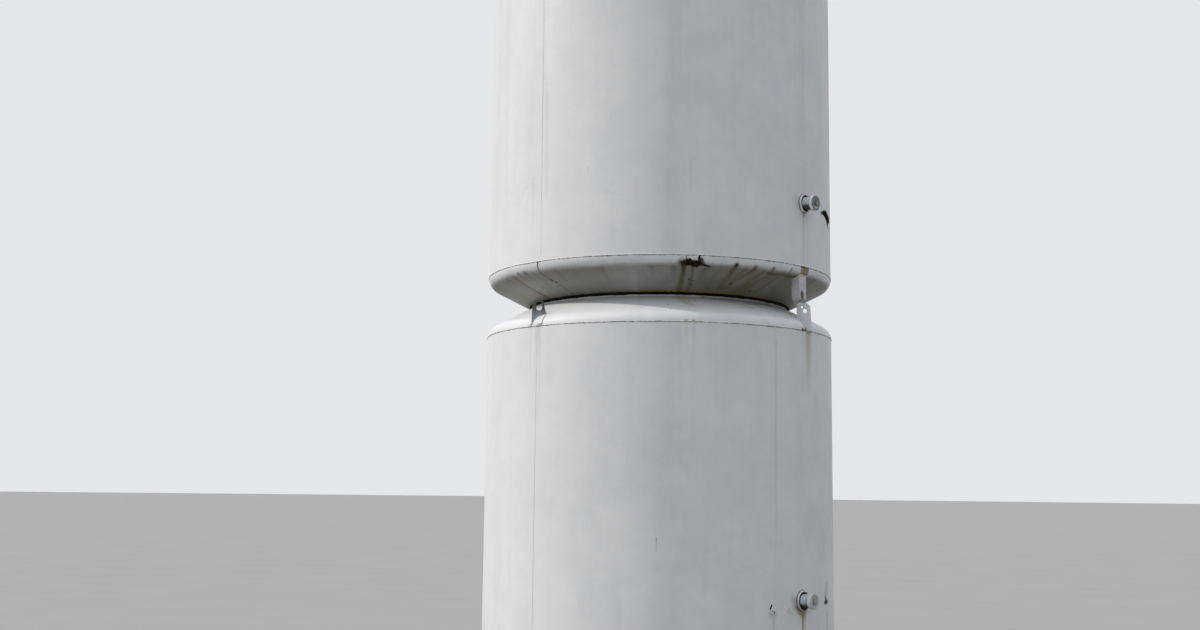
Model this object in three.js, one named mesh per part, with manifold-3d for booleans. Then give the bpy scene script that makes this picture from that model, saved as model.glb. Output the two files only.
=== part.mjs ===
// Vertical storage tank: two like steel units stacked on a round plinth.
// Millimetres, +Z up, origin at the middle of the plinth's underside.
// The front is -Y. Azimuths run from the front towards +X, in degrees.
import * as THREE from "three";
import { mergeVertices } from "three/addons/utils/BufferGeometryUtils.js";
import Module from "manifold-3d";

// Driving dimensions of the units
const shellRadius = 1200;
const shellHeight = 2150;
const plateThickness = 8;
const knuckleRadius = 78;
const coneAngle = THREE.MathUtils.degToRad(27);
const neckRadius = 905;

// Seat rings between the units and under the lower one, and the plinth
const seatRing = { inner: 740, outer: 896, height: 23 };
const plinth = { radius: 1010, height: 300, chamfer: 20 };

// Lugs on the top heads and angle brackets under the bottom heads stand in four quarters
const quarters = { front_left: -47.4, front_right: 47.4, back_right: 132.6, back_left: -132.6 };

// A lug is a flat plate that faces front and back, welded across a head.
// Outlines and holes give x from the lug's middle, and heights above the seam
const lugThickness = 12;
const eyeLug = {
  radius: 1161,
  azimuth: -47.4,
  outline: [
    [-49, 0], [-46, 85], [-38, 155], [-30, 167], [-16, 173], [0, 175],
    [16, 172], [26, 166], [31, 157], [36, 121], [47, 84], [50, 0],
  ],
  holes: [{ x: 0, low: 122, high: 144, radius: 19 }],
};
const boltLug = {
  radius: 1184,
  azimuth: 47.4,
  outline: [
    [-46, 0], [48, 0], [44, 124], [41, 158], [28, 174],
    [10, 183], [-4, 178], [-25, 184], [-39, 180], [-46, 158],
  ],
  holes: [
    { x: 8, low: 129, high: 129, radius: 14 },
    { x: -11, low: 154, high: 154, radius: 8 },
  ],
};

// The rear lugs are the front ones turned half round the tank's axis
const lugPlaces = {
  front_left: { lug: eyeLug, turn: 0 },
  front_right: { lug: boltLug, turn: 0 },
  back_right: { lug: eyeLug, turn: 180 },
  back_left: { lug: boltLug, turn: 180 },
};

// Angle bracket. Depths are below the bottom seam
const foot = {
  halfWidth: 42,
  outerRadius: 1178,
  thickness: 10,
  topDepth: 30,
  bottomDepth: 215,
  corner: 12,
  webOverlap: 3,
  hole: { x: -6, low: -182, high: -182, radius: 22 },
  webInnerRadius: 1118,
  webToeRadius: 1137,
  webHeelDepth: 193,
  webToeDepth: 262,
};
const lostUpperFoot = "front_left";

// Screwed drain near the bottom of each unit
const drain = {
  azimuths: { lower: 44.2, upper: 46.8 },
  height: 418,
  collarRadius: 70,
  collarThickness: 14,
  stubRadius: 44,
  stubEnd: 66,
  capRadius: 50,
  capEnd: 92,
  capChamfer: 4,
  squareHalfWidth: 19,
  squareEnd: 104,
  squareOverlap: 2,
};

// Facets of round pieces, and the gap kept at curved seats
const roundSegments = 64;
const fineSegments = 24;
const holeSegments = 16;
const knuckleSteps = 5;
const seat = 0.3;

// How far a bracket or drain reaches into the tank before it is cut to the surface
const cutDepth = 100;
const drainCutDepth = 10;

// Sizes worked out from the driving dimensions
const facetAngle = (2 * Math.PI) / roundSegments;
const tangentRadius = shellRadius - knuckleRadius;
const coneStartRadius = tangentRadius + knuckleRadius * Math.sin(coneAngle);
const coneStartHeight = knuckleRadius * Math.cos(coneAngle);
const headRise = coneStartHeight + (coneStartRadius - neckRadius) * Math.tan(coneAngle);
const lowerBottomSeam = plinth.height + seatRing.height + headRise;
const lowerTopSeam = lowerBottomSeam + shellHeight;
const upperBottomSeam = lowerTopSeam + headRise + seatRing.height + headRise;
const upperTopSeam = upperBottomSeam + shellHeight;

const wasm = await Module();
wasm.setup();

const tank = new THREE.Group();

const finishes = {
  whitePaint: { color: 0xd6d5d2, roughness: 0.45, metalness: 0 },
  greyPaint: { color: 0x9aa0a3, roughness: 0.5, metalness: 0 },
  blackRubber: { color: 0x161512, roughness: 0.85, metalness: 0 },
  concrete: { color: 0x9c9a93, roughness: 0.9, metalness: 0 },
  dullSteel: { color: 0x8a8c8b, roughness: 0.5, metalness: 0.6 },
};

function addPiece(name, geometry, finish) {
  const piece = new THREE.Mesh(geometry, new THREE.MeshStandardMaterial(finishes[finish]));
  piece.name = name;
  tank.add(piece);
}

// Solids for joining and cutting
function toSolid(geometry) {
  const bare = geometry.clone();
  bare.deleteAttribute("normal");
  bare.deleteAttribute("uv");
  const merged = mergeVertices(bare, 1e-3);
  return new wasm.Manifold(new wasm.Mesh({
    numProp: 3,
    vertProperties: new Float32Array(merged.attributes.position.array),
    triVerts: new Uint32Array(merged.index.array),
  }));
}

function toGeometry(solid) {
  const mesh = solid.getMesh();
  const geometry = new THREE.BufferGeometry();
  geometry.setAttribute("position", new THREE.BufferAttribute(mesh.vertProperties, 3));
  geometry.setIndex(new THREE.BufferAttribute(mesh.triVerts, 1));
  geometry.computeVertexNormals();
  return geometry;
}

// Round pieces stand on the Z axis
function turned(profile, segments = roundSegments, phase = facetAngle / 2) {
  const points = profile.map(([radius, height]) => new THREE.Vector2(radius, height));
  const geometry = new THREE.LatheGeometry(points, segments, phase);
  geometry.rotateX(Math.PI / 2);
  return geometry;
}

function ringProfile(inner, outer, height) {
  return [[inner, 0], [outer, 0], [outer, height], [inner, height], [inner, 0]];
}

// A head's surface from its seam to the axis: knuckle, cone and flat crown
function headOutline(offset) {
  const outline = [];
  for (let step = 0; step <= knuckleSteps; step += 1) {
    const angle = (step / knuckleSteps) * (Math.PI / 2 - coneAngle);
    outline.push([
      tangentRadius + (knuckleRadius + offset) * Math.cos(angle),
      (knuckleRadius + offset) * Math.sin(angle),
    ]);
  }
  const [coneRadius, coneHeight] = outline[knuckleSteps];
  const crownHeight = headRise + offset;
  outline.push([coneRadius - (crownHeight - coneHeight) / Math.tan(coneAngle), crownHeight]);
  outline.push([0, crownHeight]);
  return outline;
}

function headPlate() {
  return turned([...headOutline(-plateThickness).reverse(), ...headOutline(0)]);
}

function upsideDown(geometry) {
  geometry.rotateX(Math.PI);
  return geometry;
}

// What a lug has to clear: the head and the shell under it
function headClearance() {
  return turned([[0, -cutDepth], [shellRadius + seat, -cutDepth], ...headOutline(seat)]);
}

// What a drain has to clear: the shell at its own height
function shellClearance() {
  const radius = shellRadius + seat;
  return turned([[0, -cutDepth], [radius, -cutDepth], [radius, cutDepth], [0, cutDepth]]);
}

const lugClearance = toSolid(headClearance());
const footClearance = toSolid(upsideDown(headClearance()));
const drainClearance = toSolid(shellClearance());

// A hole is round, or drawn out upwards where low and high differ
function holeOutline({ x, low, high, radius }) {
  const points = [];
  for (let step = 0; step < holeSegments; step += 1) {
    const angle = ((step + 0.5) / holeSegments) * 2 * Math.PI;
    const middle = angle < Math.PI ? high : low;
    points.push(new THREE.Vector2(x + radius * Math.cos(angle), middle + radius * Math.sin(angle)));
  }
  return points;
}

// A plate at the front, its inner face at the given radius
function facePlate(outline, holes, innerRadius, thickness) {
  const shape = new THREE.Shape(outline.map(([x, z]) => new THREE.Vector2(x, z)));
  for (const hole of holes) {
    shape.holes.push(new THREE.Path(holeOutline(hole)));
  }
  const plate = new THREE.ExtrudeGeometry(shape, { depth: thickness, bevelEnabled: false });
  plate.rotateX(Math.PI / 2);
  plate.translate(0, -innerRadius, 0);
  return plate;
}

// A web in the radial plane, from x towards +X. Its outline gives radius and height
function radialWeb(outline, x, thickness) {
  const shape = new THREE.Shape(outline.map(([radius, z]) => new THREE.Vector2(-radius, z)));
  const web = new THREE.ExtrudeGeometry(shape, { depth: thickness, bevelEnabled: false });
  const axes = [new THREE.Vector3(0, 1, 0), new THREE.Vector3(0, 0, 1), new THREE.Vector3(1, 0, 0)];
  web.applyMatrix4(new THREE.Matrix4().makeBasis(...axes));
  web.translate(x, 0, 0);
  return web;
}

// The lug stands upright across its place on the head, facing the front
function lugGeometry(lug) {
  const azimuth = THREE.MathUtils.degToRad(lug.azimuth);
  const innerRadius = lug.radius * Math.cos(azimuth) - lugThickness / 2;
  const plate = facePlate(lug.outline, lug.holes, innerRadius, lugThickness);
  plate.translate(lug.radius * Math.sin(azimuth), 0, 0);
  return plate;
}

function footGeometry() {
  const outline = [
    [-foot.halfWidth, -foot.bottomDepth],
    [foot.halfWidth - foot.corner, -foot.bottomDepth],
    [foot.halfWidth, -foot.bottomDepth + foot.corner],
    [foot.halfWidth, -foot.topDepth],
    [-foot.halfWidth, -foot.topDepth],
  ];
  const innerRadius = foot.outerRadius - foot.thickness;
  const web = radialWeb([
    [innerRadius + foot.webOverlap, -foot.topDepth],
    [foot.webInnerRadius, -foot.topDepth],
    [foot.webInnerRadius, -foot.webHeelDepth],
    [foot.webToeRadius, -foot.webToeDepth],
    [innerRadius + foot.webOverlap, -foot.bottomDepth],
  ], -foot.halfWidth, foot.thickness);
  const plate = facePlate(outline, [foot.hole], innerRadius, foot.thickness);
  return toGeometry(toSolid(plate).add(toSolid(web)));
}

// A copy at its azimuth, cut to the surface that it is welded to, then raised
function fitted(geometry, azimuth, clearance, height) {
  const turnedCopy = geometry.clone();
  turnedCopy.rotateZ(THREE.MathUtils.degToRad(azimuth));
  const cut = toGeometry(toSolid(turnedCopy).subtract(clearance));
  cut.translate(0, 0, height);
  return cut;
}

function raised(geometry, height) {
  const copy = geometry.clone();
  copy.translate(0, 0, height);
  return copy;
}

// Parts of a drain are turned about their own axis, then laid along the front
function layOut(geometry) {
  geometry.rotateX(Math.PI / 2);
  return geometry;
}

function drainGeometries() {
  const start = shellRadius - drainCutDepth;
  const turnedFine = (profile) => turned(profile, fineSegments, 0);
  const collar = turnedFine([
    [drain.stubRadius + seat, start],
    [drain.collarRadius, start],
    [drain.collarRadius, shellRadius + drain.collarThickness],
    [drain.stubRadius + seat, shellRadius + drain.collarThickness],
    [drain.stubRadius + seat, start],
  ]);
  const stub = turnedFine([
    [0, start],
    [drain.stubRadius, start],
    [drain.stubRadius, shellRadius + drain.stubEnd],
    [0, shellRadius + drain.stubEnd],
  ]);
  const capStart = shellRadius + drain.stubEnd + seat;
  const capEnd = shellRadius + drain.capEnd;
  const disc = turnedFine([
    [0, capStart],
    [drain.capRadius, capStart],
    [drain.capRadius, capEnd - drain.capChamfer],
    [drain.capRadius - drain.capChamfer, capEnd],
    [0, capEnd],
  ]);
  const side = 2 * drain.squareHalfWidth;
  const squareLength = drain.squareEnd - drain.capEnd + drain.squareOverlap;
  const square = new THREE.BoxGeometry(side, side, squareLength);
  square.translate(0, 0, shellRadius + drain.squareEnd - squareLength / 2);
  const cap = toGeometry(toSolid(disc).add(toSolid(square)));
  return { collar: layOut(collar), stub: layOut(stub), cap: layOut(cap) };
}

// Plinth and the ring that the lower unit sits on
addPiece("plinth", turned([
  [0, 0],
  [plinth.radius, 0],
  [plinth.radius, plinth.height - plinth.chamfer],
  [plinth.radius - plinth.chamfer, plinth.height],
  [0, plinth.height],
]), "concrete");

function addSeatRing(name, underside) {
  const ring = turned(ringProfile(seatRing.inner, seatRing.outer, seatRing.height - 2 * seat));
  ring.translate(0, 0, underside + seat);
  addPiece(name, ring, "blackRubber");
}
addSeatRing("base_seat_ring", plinth.height);
addSeatRing("waist_seat_ring", lowerTopSeam + headRise);

// The two units
const shellRing = turned(ringProfile(shellRadius - plateThickness, shellRadius, shellHeight));
const topHead = headPlate();
const bottomHead = upsideDown(headPlate());
const tankFoot = footGeometry();
const drainParts = drainGeometries();

function addUnit(unit, bottomSeam, topSeam, lostFoot) {
  addPiece(`${unit}_bottom_head`, raised(bottomHead, bottomSeam), "whitePaint");
  addPiece(`${unit}_shell`, raised(shellRing, bottomSeam), "whitePaint");
  addPiece(`${unit}_top_head`, raised(topHead, topSeam), "whitePaint");
  for (const [quarter, azimuth] of Object.entries(quarters)) {
    const { lug, turn } = lugPlaces[quarter];
    const lugPlate = fitted(lugGeometry(lug), turn, lugClearance, topSeam);
    addPiece(`${unit}_lug_${quarter}`, lugPlate, "greyPaint");
    if (quarter !== lostFoot) {
      const tankBracket = fitted(tankFoot, azimuth, footClearance, bottomSeam);
      addPiece(`${unit}_foot_${quarter}`, tankBracket, "greyPaint");
    }
  }
  for (const [name, geometry] of Object.entries(drainParts)) {
    const part = fitted(geometry, drain.azimuths[unit], drainClearance, bottomSeam + drain.height);
    addPiece(`${unit}_drain_${name}`, part, "dullSteel");
  }
}
addUnit("lower", lowerBottomSeam, lowerTopSeam, null);
addUnit("upper", upperBottomSeam, upperTopSeam, lostUpperFoot);

export default tank;
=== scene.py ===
import bmesh
import bpy
import math
from functools import partial
from mathutils import Matrix, Vector, noise


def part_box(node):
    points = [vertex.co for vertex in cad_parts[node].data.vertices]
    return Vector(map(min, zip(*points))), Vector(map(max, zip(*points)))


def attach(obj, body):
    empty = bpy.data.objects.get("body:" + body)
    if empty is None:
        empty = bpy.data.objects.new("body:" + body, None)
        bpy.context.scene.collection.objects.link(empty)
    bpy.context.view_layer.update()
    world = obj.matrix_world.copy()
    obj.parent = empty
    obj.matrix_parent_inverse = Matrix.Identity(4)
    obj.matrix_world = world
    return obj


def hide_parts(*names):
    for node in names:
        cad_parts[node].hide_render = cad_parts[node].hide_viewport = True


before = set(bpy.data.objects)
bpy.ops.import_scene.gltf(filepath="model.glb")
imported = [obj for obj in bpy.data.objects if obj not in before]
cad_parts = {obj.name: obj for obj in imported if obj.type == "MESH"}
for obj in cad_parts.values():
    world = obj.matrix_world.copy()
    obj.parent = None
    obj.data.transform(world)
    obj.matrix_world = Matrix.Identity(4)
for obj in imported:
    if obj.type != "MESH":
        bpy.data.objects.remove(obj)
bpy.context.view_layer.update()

# Sizes in metres, most of them shared with the CAD part
SHELL_RADIUS = 1.2
PLATE = 0.008
KNUCKLE_RADIUS = 0.078
CONE_ANGLE = math.radians(27)
SEAT_INNER = 0.740
SEAT_OUTER = 0.896
PLINTH_RADIUS = 1.0095
PLINTH_CHAMFER = 0.02
LUG_THICKNESS = 0.012
FOOT_THICKNESS = 0.010
PLATE_BEVEL = 0.0015
DRAIN_BORE = 0.047
DRAIN_STUB = 0.043
DRAIN_SINK = 0.006
WELD_RADIUS = {"seam": 0.0042, "grime_and_shade_line": 0.0023, "long": 0.0034, "lug": 0.0055, "foot": 0.005}
MM = 0.001

# Steps around and up the tank
AROUND_SEGMENTS = 288
SHELL_ROWS = 28
WELD_STEPS = 720

# Edges bent by fewer degrees than this are shaded smooth
PLATE_SMOOTH = 35
DRAIN_SMOOTH = 40
BEAD_SMOOTH = 80

UNITS = ("lower", "upper")


def levels(node):
    """The heights of the bottom and the top of a CAD node."""
    return [corner.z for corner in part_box(node)]


BOTTOM_SEAM = {unit: levels(f"{unit}_shell")[0] for unit in UNITS}
TOP_SEAM = {unit: levels(f"{unit}_shell")[1] for unit in UNITS}
SEAMS = {"bottom": BOTTOM_SEAM, "top": TOP_SEAM}
OUTWARD = {"bottom": -1, "top": 1}
HEAD_RISE = levels("lower_top_head")[1] - levels("lower_top_head")[0]
TANGENT_RADIUS = SHELL_RADIUS - KNUCKLE_RADIUS
CONE_START_RADIUS = TANGENT_RADIUS + KNUCKLE_RADIUS * math.sin(CONE_ANGLE)
CONE_START_HEIGHT = KNUCKLE_RADIUS * math.cos(CONE_ANGLE)

DRAIN_AZIMUTH = {"lower": 44.2, "upper": 46.8}
DRAIN_HEIGHT = {"lower": 0.424, "upper": 0.418}
DRAIN_MIDDLE = {unit: BOTTOM_SEAM[unit] + DRAIN_HEIGHT[unit] for unit in UNITS}
DRAIN_RIM = {"lower": 0.060, "upper": 0.057}
DRAIN_DROOP = {"lower": 0.0, "upper": 4.0}
QUARTERS = {"front_left": -47.4, "front_right": 47.4, "back_right": 132.6, "back_left": -132.6}
UNDERSIDE_SECTORS = (-180, -45, -20, 12.5, 27.5, 36.25, 180)
SHELL_SECTORS = (-180, -90, 90, 180)
LONG_WELDS = {"lower": (-46.4, 32.6, 150.0), "upper": (-45.3, 46.6, -140.0)}


# Mesh helpers

def new_object(name, data):
    made = bpy.data.objects.new(name, data)
    bpy.context.scene.collection.objects.link(made)
    return made


def new_piece(name, mesh, materials, slot, node=None):
    """A piece of the tank. It may stand for a node of the CAD part."""
    piece = new_object(name, mesh)
    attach(piece, "root")
    for material in materials:
        piece.data.materials.append(material)
    if node:
        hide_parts(node)
    return piece


def finish_mesh(name, work, smooth_angle=PLATE_SMOOTH):
    bmesh.ops.recalc_face_normals(work, faces=work.faces)
    mesh = bpy.data.meshes.new(name)
    for edge in work.edges:
        faces = edge.link_faces
        sharp = len(faces) == 2 and faces[0].normal.angle(faces[1].normal, 0) > math.radians(smooth_angle)
        edge.smooth = not sharp
    for face in work.faces:
        face.smooth = True
    work.to_mesh(mesh)
    work.free()
    return mesh


def around(azimuth, radius, height):
    angle = math.radians(azimuth)
    return Vector((radius * math.sin(angle), -radius * math.cos(angle), height))


def add_lathe(work, profile, segments, closed=False, shape=None):
    """Turns (radius, height) points about Z. Points on the axis become poles."""
    rings = []
    for radius, height in profile:
        if radius < 1e-6:
            rings.append([work.verts.new((0, 0, height))])
            continue
        ring = []
        for step in range(segments):
            azimuth = 360 * step / segments - 180
            r, z = shape(azimuth, radius, height) if shape else (radius, height)
            ring.append(work.verts.new(around(azimuth, r, z)))
        rings.append(ring)
    pairs = list(zip(rings, rings[1:]))
    if closed:
        pairs.append((rings[-1], rings[0]))
    for low, high in pairs:
        if len(low) == 1 and len(high) == 1:
            continue
        for step in range(segments):
            after = (step + 1) % segments
            if len(low) == 1:
                corners = (low[0], high[step], high[after])
            elif len(high) == 1:
                corners = (low[step], high[0], low[after])
            else:
                corners = (low[step], high[step], high[after], low[after])
            work.faces.new(corners)


def lathe_mesh(name, profile, segments, closed=False, shape=None):
    work = bmesh.new()
    add_lathe(work, profile, segments, closed, shape)
    return finish_mesh(name, work)


def evenly(low, high, steps):
    """Values at even steps from low to high, both included."""
    return [low + (high - low) * step / steps for step in range(steps + 1)]


def arc_points(centre, radius, start, end, steps):
    """Points on an arc in a profile. Angles in degrees from the outward axis."""
    points = []
    for angle in map(math.radians, evenly(start, end, steps)):
        points.append((centre[0] + radius * math.cos(angle), centre[1] + radius * math.sin(angle)))
    return points


def add_bead(work, points, radius, seed, closed=False, sides=8, roughness=0.25):
    """A weld bead: a rippled tube along points, rounded off at its ends."""
    count = len(points)
    rings = []
    previous = None
    for index, point in enumerate(points):
        before = points[index - 1] if index > 0 or closed else point
        after = points[(index + 1) % count] if index < count - 1 or closed else point
        along = (after - before).normalized()
        if previous is None:
            helper = Vector((0, 0, 1)) if abs(along.z) < 0.9 else Vector((1, 0, 0))
            side = along.cross(helper).normalized()
        else:
            side = (previous - along * previous.dot(along)).normalized()
        previous = side
        up = along.cross(side)
        wobble = 1 + roughness * noise.noise(Vector((index * 0.9, seed * 7.3, 0.5)))
        end = 1.0 if closed else min(1.0, 0.35 + 0.65 * min(index, count - 1 - index) / 2)
        size = radius * wobble * end
        ring = []
        for step in range(sides):
            angle = 2 * math.pi * step / sides
            spot = point + side * (size * math.cos(angle))
            ring.append(work.verts.new(spot + up * (size * math.sin(angle))))
        rings.append(ring)
    pairs = list(zip(rings, rings[1:]))
    if closed:
        pairs.append((rings[-1], rings[0]))
    for low, high in pairs:
        for step in range(sides):
            after = (step + 1) % sides
            work.faces.new((low[step], low[after], high[after], high[step]))
    if not closed:
        work.faces.new(rings[0])
        work.faces.new(rings[-1])


def bead_object(name, lines, radius, seed, material, slot, closed=False, **options):
    work = bmesh.new()
    for number, points in enumerate(lines):
        add_bead(work, points, radius, seed + number, closed, **options)
    new_piece(name, finish_mesh(name, work, BEAD_SMOOTH), [material], slot)


def turned(azimuth, height):
    return Matrix.Rotation(math.radians(azimuth), 4, "Z") @ Matrix.Translation((0, 0, height))


def upright(x, y):
    """Turns a plate's own x and z to stand up at x and y, facing the front."""
    return Matrix(((1, 0, 0, x), (0, 0, -1, y), (0, 1, 0, 0), (0, 0, 0, 1)))


def add_plate(work, outline, holes, thickness, bevel, place):
    """A flat plate from an outline in its own x and z, its edges rounded by the bevel."""
    curve = bpy.data.curves.new("outline", "CURVE")
    curve.dimensions = "2D"
    curve.fill_mode = "BOTH"
    curve.extrude = thickness / 2 - bevel
    curve.bevel_depth = bevel
    curve.bevel_resolution = 2
    curve.offset = -bevel
    for loop in (outline, *holes):
        spline = curve.splines.new("POLY")
        spline.points.add(len(loop) - 1)
        for point, (x, z) in zip(spline.points, loop):
            point.co = (x, z, 0, 1)
        spline.use_cyclic_u = True
    holder = bpy.data.objects.new("outline", curve)
    mesh = bpy.data.meshes.new_from_object(holder)
    mesh.transform(place)
    before = set(work.verts)
    work.from_mesh(mesh)
    bmesh.ops.remove_doubles(work, verts=[v for v in work.verts if v not in before], dist=1e-5)
    bpy.data.objects.remove(holder)
    bpy.data.curves.remove(curve)
    bpy.data.meshes.remove(mesh)


def hole_outline(x, low, high, radius, steps=28):
    points = []
    for step in range(steps):
        angle = 2 * math.pi * (step + 0.5) / steps
        middle = high if angle < math.pi else low
        points.append((x + radius * math.cos(angle), middle + radius * math.sin(angle)))
    return points


# The heads' surface

def head_profile(offset=0.0, steps=14, crown_round=0.04):
    """(radius, height above the seam) from the seam to the axis."""
    points = arc_points((TANGENT_RADIUS, 0), KNUCKLE_RADIUS + offset, 0, 90 - math.degrees(CONE_ANGLE), steps)
    radius, height = points[-1]
    crown = HEAD_RISE + offset
    edge = radius - (crown - height) / math.tan(CONE_ANGLE)
    run = crown_round * math.tan(CONE_ANGLE / 2)
    start = (edge + run * math.cos(CONE_ANGLE), crown - run * math.sin(CONE_ANGLE))
    for share in (0.25, 0.5, 0.75):
        points.append((radius + (start[0] - radius) * share, height + (start[1] - height) * share))
    centre = (edge - run, crown - crown_round)
    points += arc_points(centre, crown_round, 90 - math.degrees(CONE_ANGLE), 90, 4)
    points += [(edge * share, crown) for share in (0.8, 0.5, 0.2)]
    points.append((0, crown))
    return points


def head_height(radius):
    if radius >= SHELL_RADIUS:
        return 0.0
    if radius > CONE_START_RADIUS:
        return math.sqrt(KNUCKLE_RADIUS ** 2 - (radius - TANGENT_RADIUS) ** 2)
    return min(HEAD_RISE, CONE_START_HEIGHT + (CONE_START_RADIUS - radius) * math.tan(CONE_ANGLE))


def near_seam(unit, end, azimuth, away):
    """A spot on a head's knuckle, by its height away from the seam."""
    radius = TANGENT_RADIUS + math.sqrt(KNUCKLE_RADIUS ** 2 - away ** 2)
    return around(azimuth, radius, SEAMS[end][unit] + OUTWARD[end] * away)


def on_head(unit, end, azimuth, radius):
    return around(azimuth, radius, SEAMS[end][unit] + OUTWARD[end] * head_height(radius))


# Node helpers

class Nodes:
    """Short calls that add nodes to one tree."""

    def __init__(self, tree):
        self.tree = tree

    def add(self, kind, settings=None, inputs=None):
        node = self.tree.nodes.new(kind)
        for key, value in (settings or {}).items():
            setattr(node, key, value)
        for key, value in (inputs or {}).items():
            self.put(node.inputs[key], value)
        return node

    def put(self, socket, value):
        if isinstance(value, bpy.types.NodeSocket):
            self.tree.links.new(value, socket)
        else:
            socket.default_value = value

    def math(self, operation, first, second=0.0, clamp=False):
        settings = {"operation": operation, "use_clamp": clamp}
        return self.add("ShaderNodeMath", settings, {0: first, 1: second}).outputs[0]

    def plus(self, first, second):
        return self.math("ADD", first, second)

    def minus(self, first, second):
        return self.math("SUBTRACT", first, second)

    def times(self, first, *others):
        for other in others:
            first = self.math("MULTIPLY", first, other)
        return first

    def vector(self, operation, first, second=(0, 0, 0)):
        """The operation's result: a number for DOT_PRODUCT and LENGTH, a vector for the others."""
        node = self.add("ShaderNodeVectorMath", {"operation": operation}, {0: first, 1: second})
        return node.outputs["Value" if operation in ("DOT_PRODUCT", "LENGTH") else "Vector"]

    def scaled(self, vector, scale):
        settings = {"operation": "SCALE"}
        return self.add("ShaderNodeVectorMath", settings, {0: vector, "Scale": scale}).outputs["Vector"]

    def height(self, point):
        return self.add("ShaderNodeSeparateXYZ", None, {0: point}).outputs["Z"]

    def noise(self, vector, scale, detail=3.0, roughness=0.55):
        inputs = {"Vector": vector, "Scale": scale, "Detail": detail, "Roughness": roughness}
        return self.add("ShaderNodeTexNoise", None, inputs).outputs["Fac"]

    def ragged(self, value, texture, amount):
        """The value shifted by up to half the amount either way, as a noise texture says."""
        return self.plus(value, self.times(self.minus(texture, 0.5), amount))

    def between(self, value, low, high, to_low=0.0, to_high=1.0):
        """Eases from to_low to to_high as value goes from low to high."""
        inputs = {"Value": value, "From Min": low, "From Max": high, "To Min": to_low, "To Max": to_high}
        return self.add("ShaderNodeMapRange", {"interpolation_type": "SMOOTHSTEP"}, inputs).outputs["Result"]

    def mix(self, factor, first, second, blend="MIX"):
        node = self.add("ShaderNodeMix", {"data_type": "RGBA", "blend_type": blend})
        self.put(node.inputs[0], factor)
        self.put(node.inputs[6], first if isinstance(first, bpy.types.NodeSocket) else (*first, 1))
        self.put(node.inputs[7], second if isinstance(second, bpy.types.NodeSocket) else (*second, 1))
        return node.outputs[2]

    def blend(self, factor, first, second):
        node = self.add("ShaderNodeMix", {"data_type": "FLOAT"})
        for index, value in ((0, factor), (2, first), (3, second)):
            self.put(node.inputs[index], value)
        return node.outputs[0]


def stroke_group():
    """A mask along the line from Start to End: its widths, soft edge and fade towards the end."""
    tree = bpy.data.node_groups.new("Stroke", "ShaderNodeTree")
    face = tree.interface
    for name in ("Point", "Start", "End"):
        face.new_socket(name, in_out="INPUT", socket_type="NodeSocketVector")
    for name in ("Start width", "End width", "Edge", "Fade", "Strength"):
        face.new_socket(name, in_out="INPUT", socket_type="NodeSocketFloat")
    face.new_socket("Mask", in_out="OUTPUT", socket_type="NodeSocketFloat")
    n = Nodes(tree)
    given = n.add("NodeGroupInput").outputs
    from_start = n.vector("SUBTRACT", given["Point"], given["Start"])
    line = n.vector("SUBTRACT", given["End"], given["Start"])
    along = n.vector("DOT_PRODUCT", from_start, line)
    whole = n.vector("DOT_PRODUCT", line, line)
    share = n.math("DIVIDE", along, whole, clamp=True)
    away = n.vector("SUBTRACT", from_start, n.scaled(line, share))
    distance = n.vector("LENGTH", away)
    width = n.blend(share, given["Start width"], given["End width"])
    ratio = n.math("DIVIDE", distance, width)
    inner = n.minus(1.0, given["Edge"])
    outer = n.plus(1.0, given["Edge"])
    mask = n.between(ratio, inner, outer, 1.0, 0.0)
    kept = n.blend(share, 1.0, given["Fade"])
    faded = n.times(mask, kept)
    out = n.add("NodeGroupOutput")
    n.put(out.inputs[0], n.times(faded, given["Strength"]))
    return tree


STROKE = stroke_group()


def strokes_mask(n, point, lines):
    """The strongest of several strokes at each point. A stroke is a dict of the group's inputs."""
    mask = None
    for line in lines:
        value = n.add("ShaderNodeGroup", {"node_tree": STROKE}, {"Point": point, **line}).outputs[0]
        mask = value if mask is None else n.math("MAXIMUM", mask, value)
    return mask


def stroke(start, end, width, end_width, edge, fade, strength):
    return {
        "Start": start, "End": end, "Start width": width, "End width": end_width,
        "Edge": edge, "Fade": fade, "Strength": strength,
    }


def strokes(place, rows):
    """Strokes from rows of where each starts and ends, its two widths in mm, edge, fade and strength."""
    made = []
    for row in rows:
        start, end, widths = place(*row[:2]), place(*row[2:4]), [width * MM for width in row[4:6]]
        made.append(stroke(start, end, *widths, *row[6:]))
    return made


def path_strokes(points, width, end_width, edge, fade, strength):
    """Strokes end to end along points, narrowing and fading evenly."""
    count = len(points) - 1
    made = []
    for index in range(count):
        first, last = index / count, (index + 1) / count
        start_strength = strength * (1 + (fade - 1) * first)
        end_strength = strength * (1 + (fade - 1) * last)
        made.append(stroke(points[index], points[index + 1],
                           width + (end_width - width) * first, width + (end_width - width) * last,
                           edge, end_strength / start_strength, start_strength))
    return made


def paths(place, rows):
    """Paths of strokes from rows of their points, two widths in mm, edge, fade and strength."""
    made = []
    for points, width, end_width, *rest in rows:
        made += path_strokes([place(*point) for point in points], width * MM, end_width * MM, *rest)
    return made


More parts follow.
